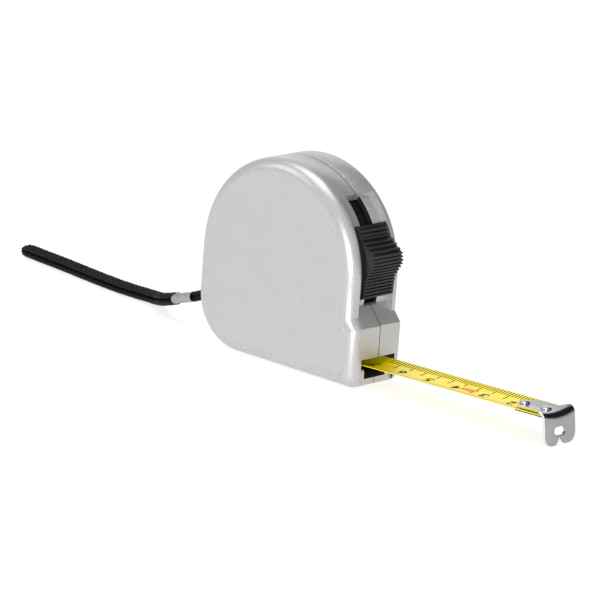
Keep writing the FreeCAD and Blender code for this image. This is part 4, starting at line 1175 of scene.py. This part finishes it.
# Along the sleeve: place and swell, with a lip at each end and two pressed grooves.
GROOVE, LIP = -0.07, 0.05
outer = [(0.0, -0.02), (0.12, LIP), (0.5, 0.0), (1.7, 0.0), (2.1, GROOVE), (2.5, GROOVE), (2.9, 0.0),
         (4.7, 0.0), (5.1, GROOVE), (5.5, GROOVE), (5.9, 0.0), (7.1, 0.0), (7.48, LIP), (CRIMP_LENGTH, -0.02)]
crimp_rings = [crimp_ring(x, grow) for x, grow in outer]
crimp_rings += [crimp_ring(x, grow - CRIMP_WALL) for x, grow in reversed(outer)]
crimp_mesh = loft("crimp_sleeve", crimp_rings, cyclic=True)
smooth(crimp_mesh, 50.0)
crimp = make_object("crimp_sleeve", crimp_mesh, crimp_steel)

# %% [markdown]
# From the crimp a thin round cord goes through the slot in the case, round the steel bar and
# back. It is braided by the same tree with smaller sizes. Its two ends are held in the crimp.

# %% Neck cord
BAR_X, BAR_Z, WRAP = -25.0, 14.3, 1.9
WALL_X, WALL_HIGH, WALL_LOW = -33.0, 12.5, 10.9
NECK_IN_CRIMP, HELD_GAP, FREE_GAP = 2.0, 0.68, 0.72
neck_start = crimp_back + crimp_way * (CRIMP_LENGTH - NECK_IN_CRIMP)
neck_clear = neck_start + crimp_way * 3.0
beyond_bar = BAR_X + WRAP + 0.15
round_bar = [
    (WALL_X, WALL_HIGH), (BAR_X - 2.4, BAR_Z + WRAP - 0.1), (BAR_X + 0.1, BAR_Z + WRAP + 0.25),
    (beyond_bar, BAR_Z + WRAP - 0.6), (beyond_bar, BAR_Z - WRAP + 0.6), (BAR_X + 0.3, BAR_Z - WRAP - 0.25),
    (BAR_X - 2.2, BAR_Z - WRAP - 0.45), (WALL_X, WALL_LOW),
]
neck_points = [neck_start + crimp_up * HELD_GAP, neck_clear + crimp_up * FREE_GAP]
neck_points += [Vector((x, 0.0, z)) for x, z in round_bar]
neck_points += [neck_clear - crimp_up * FREE_GAP, neck_start - crimp_up * HELD_GAP]
neck_route = smooth_route("neck_route", neck_points)
neck_line = line_of(neck_route)
print("neck line: %.1f mm" % (line_length(neck_line) / MM))
neck_braid = run_tree(flat_braid, "neck_cord", {
    "Route": neck_route, "Yarns Each Way": 4, "Turns": 13.0, "Half Width": 0.46 * MM,
    "Half Thickness": 0.5 * MM, "Yarn Radius": 0.28 * MM, "Lift": 0.06 * MM, "Points": 420, "Material": yarn,
})
neck_core = cord_core("neck_core", neck_line, 0.45 * MM, 0.45 * MM)
neck = make_object("neck_cord", joined("neck_cord", neck_braid, neck_core))

# %% [markdown]
# The pieces inside the case keep the engineering model's own shapes and get real finishes. The
# wound blade shows its turns as fine rings on its edge: 0.16 mm each, drawn at 0.32 mm.


# %% Wound blade finish
REEL_X, REEL_Z, TURN_DRAWN = -1.0, 27.5, 0.32


def wound_blade():
    material, tree, shader = new_material("edges_of_wound_enamelled_steel")
    flat = add(tree, "ShaderNodeVectorMath", {0: object_place(tree), 1: (1.0, 0.0, 1.0)},
               operation="MULTIPLY")
    from_reel = add(tree, "ShaderNodeVectorMath", {0: flat.outputs[0], 1: (REEL_X * MM, 0.0, REEL_Z * MM)},
                    operation="DISTANCE")
    turns = calc(tree, "MULTIPLY", from_reel.outputs["Value"], math.tau / (TURN_DRAWN * MM))
    wave = calc(tree, "SINE", turns)
    share = calc(tree, "MULTIPLY_ADD", wave, 0.5, 0.5)
    paint(tree, shader, share, "#8C7F3A", "#EAD21A")
    emboss(tree, shader, share, 0.6, 0.08)
    set_inputs(shader, Roughness=0.35)
    return material


# %% Finishes for the engineering model's own pieces
INNER_FINISHES = {
    "spindle_post": black_abs, "thrust_washers": nylon, "reel_drum": acetal, "reel_cover": acetal,
    "power_spring": blue_steel, "blade_coil": wound_blade(), "lock_slide": black_abs, "brake_pad": rubber,
    "strap_bar": zinc,
}
for node, finish in INNER_FINISHES.items():
    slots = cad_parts[node].data.materials
    slots.clear()
    slots.append(finish)

# %% [markdown]
# The floor is a pale sheet lit a little from below, as a light table is. A bright room and three
# soft lamps light the rest: one on each side of the camera and one overhead. The room has a dark
# curtain high behind the object, which polished metal shows as a black band, and a brighter
# window low behind it on the left, which the hook's tongue mirrors.

# %% Floor
FLOOR_HALF, FLOOR_DROP = 6.0, 0.1 * MM
corners = [(x * FLOOR_HALF, y * FLOOR_HALF, 0.0) for x, y in ((-1, -1), (1, -1), (1, 1), (-1, 1))]
floor_mesh = bpy.data.meshes.new("floor")
floor_mesh.from_pydata(corners, [], [(0, 1, 2, 3)])
floor_material, _, floor_shader = new_material("pale_floor")
set_inputs(floor_shader, Base_Color=colour("#8C8C8C"), Roughness=0.8, Emission_Color=colour("#FFFFFF"),
           Emission_Strength=0.78)
floor = make_object("floor", floor_mesh, floor_material)
floor.location.z = -FLOOR_DROP

# %% Room and lamps
ROOM_LIGHT, CURTAIN_LIGHT, WINDOW_LIGHT = 0.6, 0.03, 0.45
CURTAIN_WAY, CURTAIN_EDGE = (0.25, 0.72, 0.65), (0.76, 0.88)
WINDOW_WAY, WINDOW_EDGE = (-0.65, 0.72, 0.26), (0.86, 0.96)
LAMP_AIM = Vector((0.0, 0.0, 0.03))
world = bpy.data.worlds.new("room")
scene.world = world
world.use_nodes = True
room = world.node_tree
look = add(room, "ShaderNodeTexCoord").outputs["Generated"]


def patch(way, edge, outside, inside):
    """Light that goes from outside to inside round a direction, between two cosines."""
    toward = add(room, "ShaderNodeVectorMath", {0: look, 1: tuple(Vector(way).normalized())},
                 operation="DOT_PRODUCT")
    inputs = {"Value": toward.outputs["Value"], "From Min": edge[0], "From Max": edge[1], "To Min": outside,
              "To Max": inside}
    return add(room, "ShaderNodeMapRange", inputs, interpolation_type="SMOOTHSTEP").outputs[0]


def softbox(name, place, size, watts):
    """A square soft lamp that faces the object."""
    lamp = bpy.data.objects.new(name, bpy.data.lights.new(name, "AREA"))
    scene.collection.objects.link(lamp)
    lamp.data.size = size
    lamp.data.energy = watts
    lamp.location = place
    lamp.rotation_mode = "QUATERNION"
    lamp.rotation_quaternion = (LAMP_AIM - Vector(place)).to_track_quat("-Z", "Y")


room_light = calc(room, "ADD", patch(CURTAIN_WAY, CURTAIN_EDGE, ROOM_LIGHT, CURTAIN_LIGHT),
                  patch(WINDOW_WAY, WINDOW_EDGE, 0.0, WINDOW_LIGHT))
background = room.nodes["Background"]
room.links.new(room_light, background.inputs["Strength"])
background.inputs["Color"].default_value = colour("#FFFFFF")
softbox("left_softbox", (-0.8, -0.9, 0.7), 0.6, 2.5)
softbox("front_softbox", (0.95, -1.15, 0.25), 0.45, 15.5)
softbox("top_softbox", (-0.1, -0.1, 1.2), 0.9, 7.0)

scene.view_settings.view_transform = "Standard"

# %% [markdown]
# Every piece rides on the body that it moves with, and stands for its node in the engineering
# model, which is hidden. The drawn blade is given a mesh of its own.

# %% Attach the pieces
ATTACH = [
    (left_half, "case", "left_shell", "silver_paint"), (right_half, "case", "right_shell", "silver_paint"),
    (screws, "case", "case_screws", "zinc_steel"), (strap, "case", "strap_loop", "black_cord"),
    (neck, "case", "strap_neck", "black_cord"), (crimp, "case", "strap_ferrule", "crimp_steel"),
    (blade_run, "case", "blade_run", "yellow_enamel"), (blade_tip, "tip", "blade_tip", "yellow_enamel"),
    (backing, "tip", "hook_backing", "dark_steel"), (rivets, "tip", "hook_rivets", "rivet_steel"),
    (hook, "hook", "end_hook", "bright_steel"), (lock_button, "lock", "lock_button", "black_moulding"),
]
for piece, body, node, slot in ATTACH:
    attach(piece, body)
    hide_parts(node)
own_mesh(blade_run)
for route in (strap_route, neck_route):
    bpy.data.objects.remove(route)
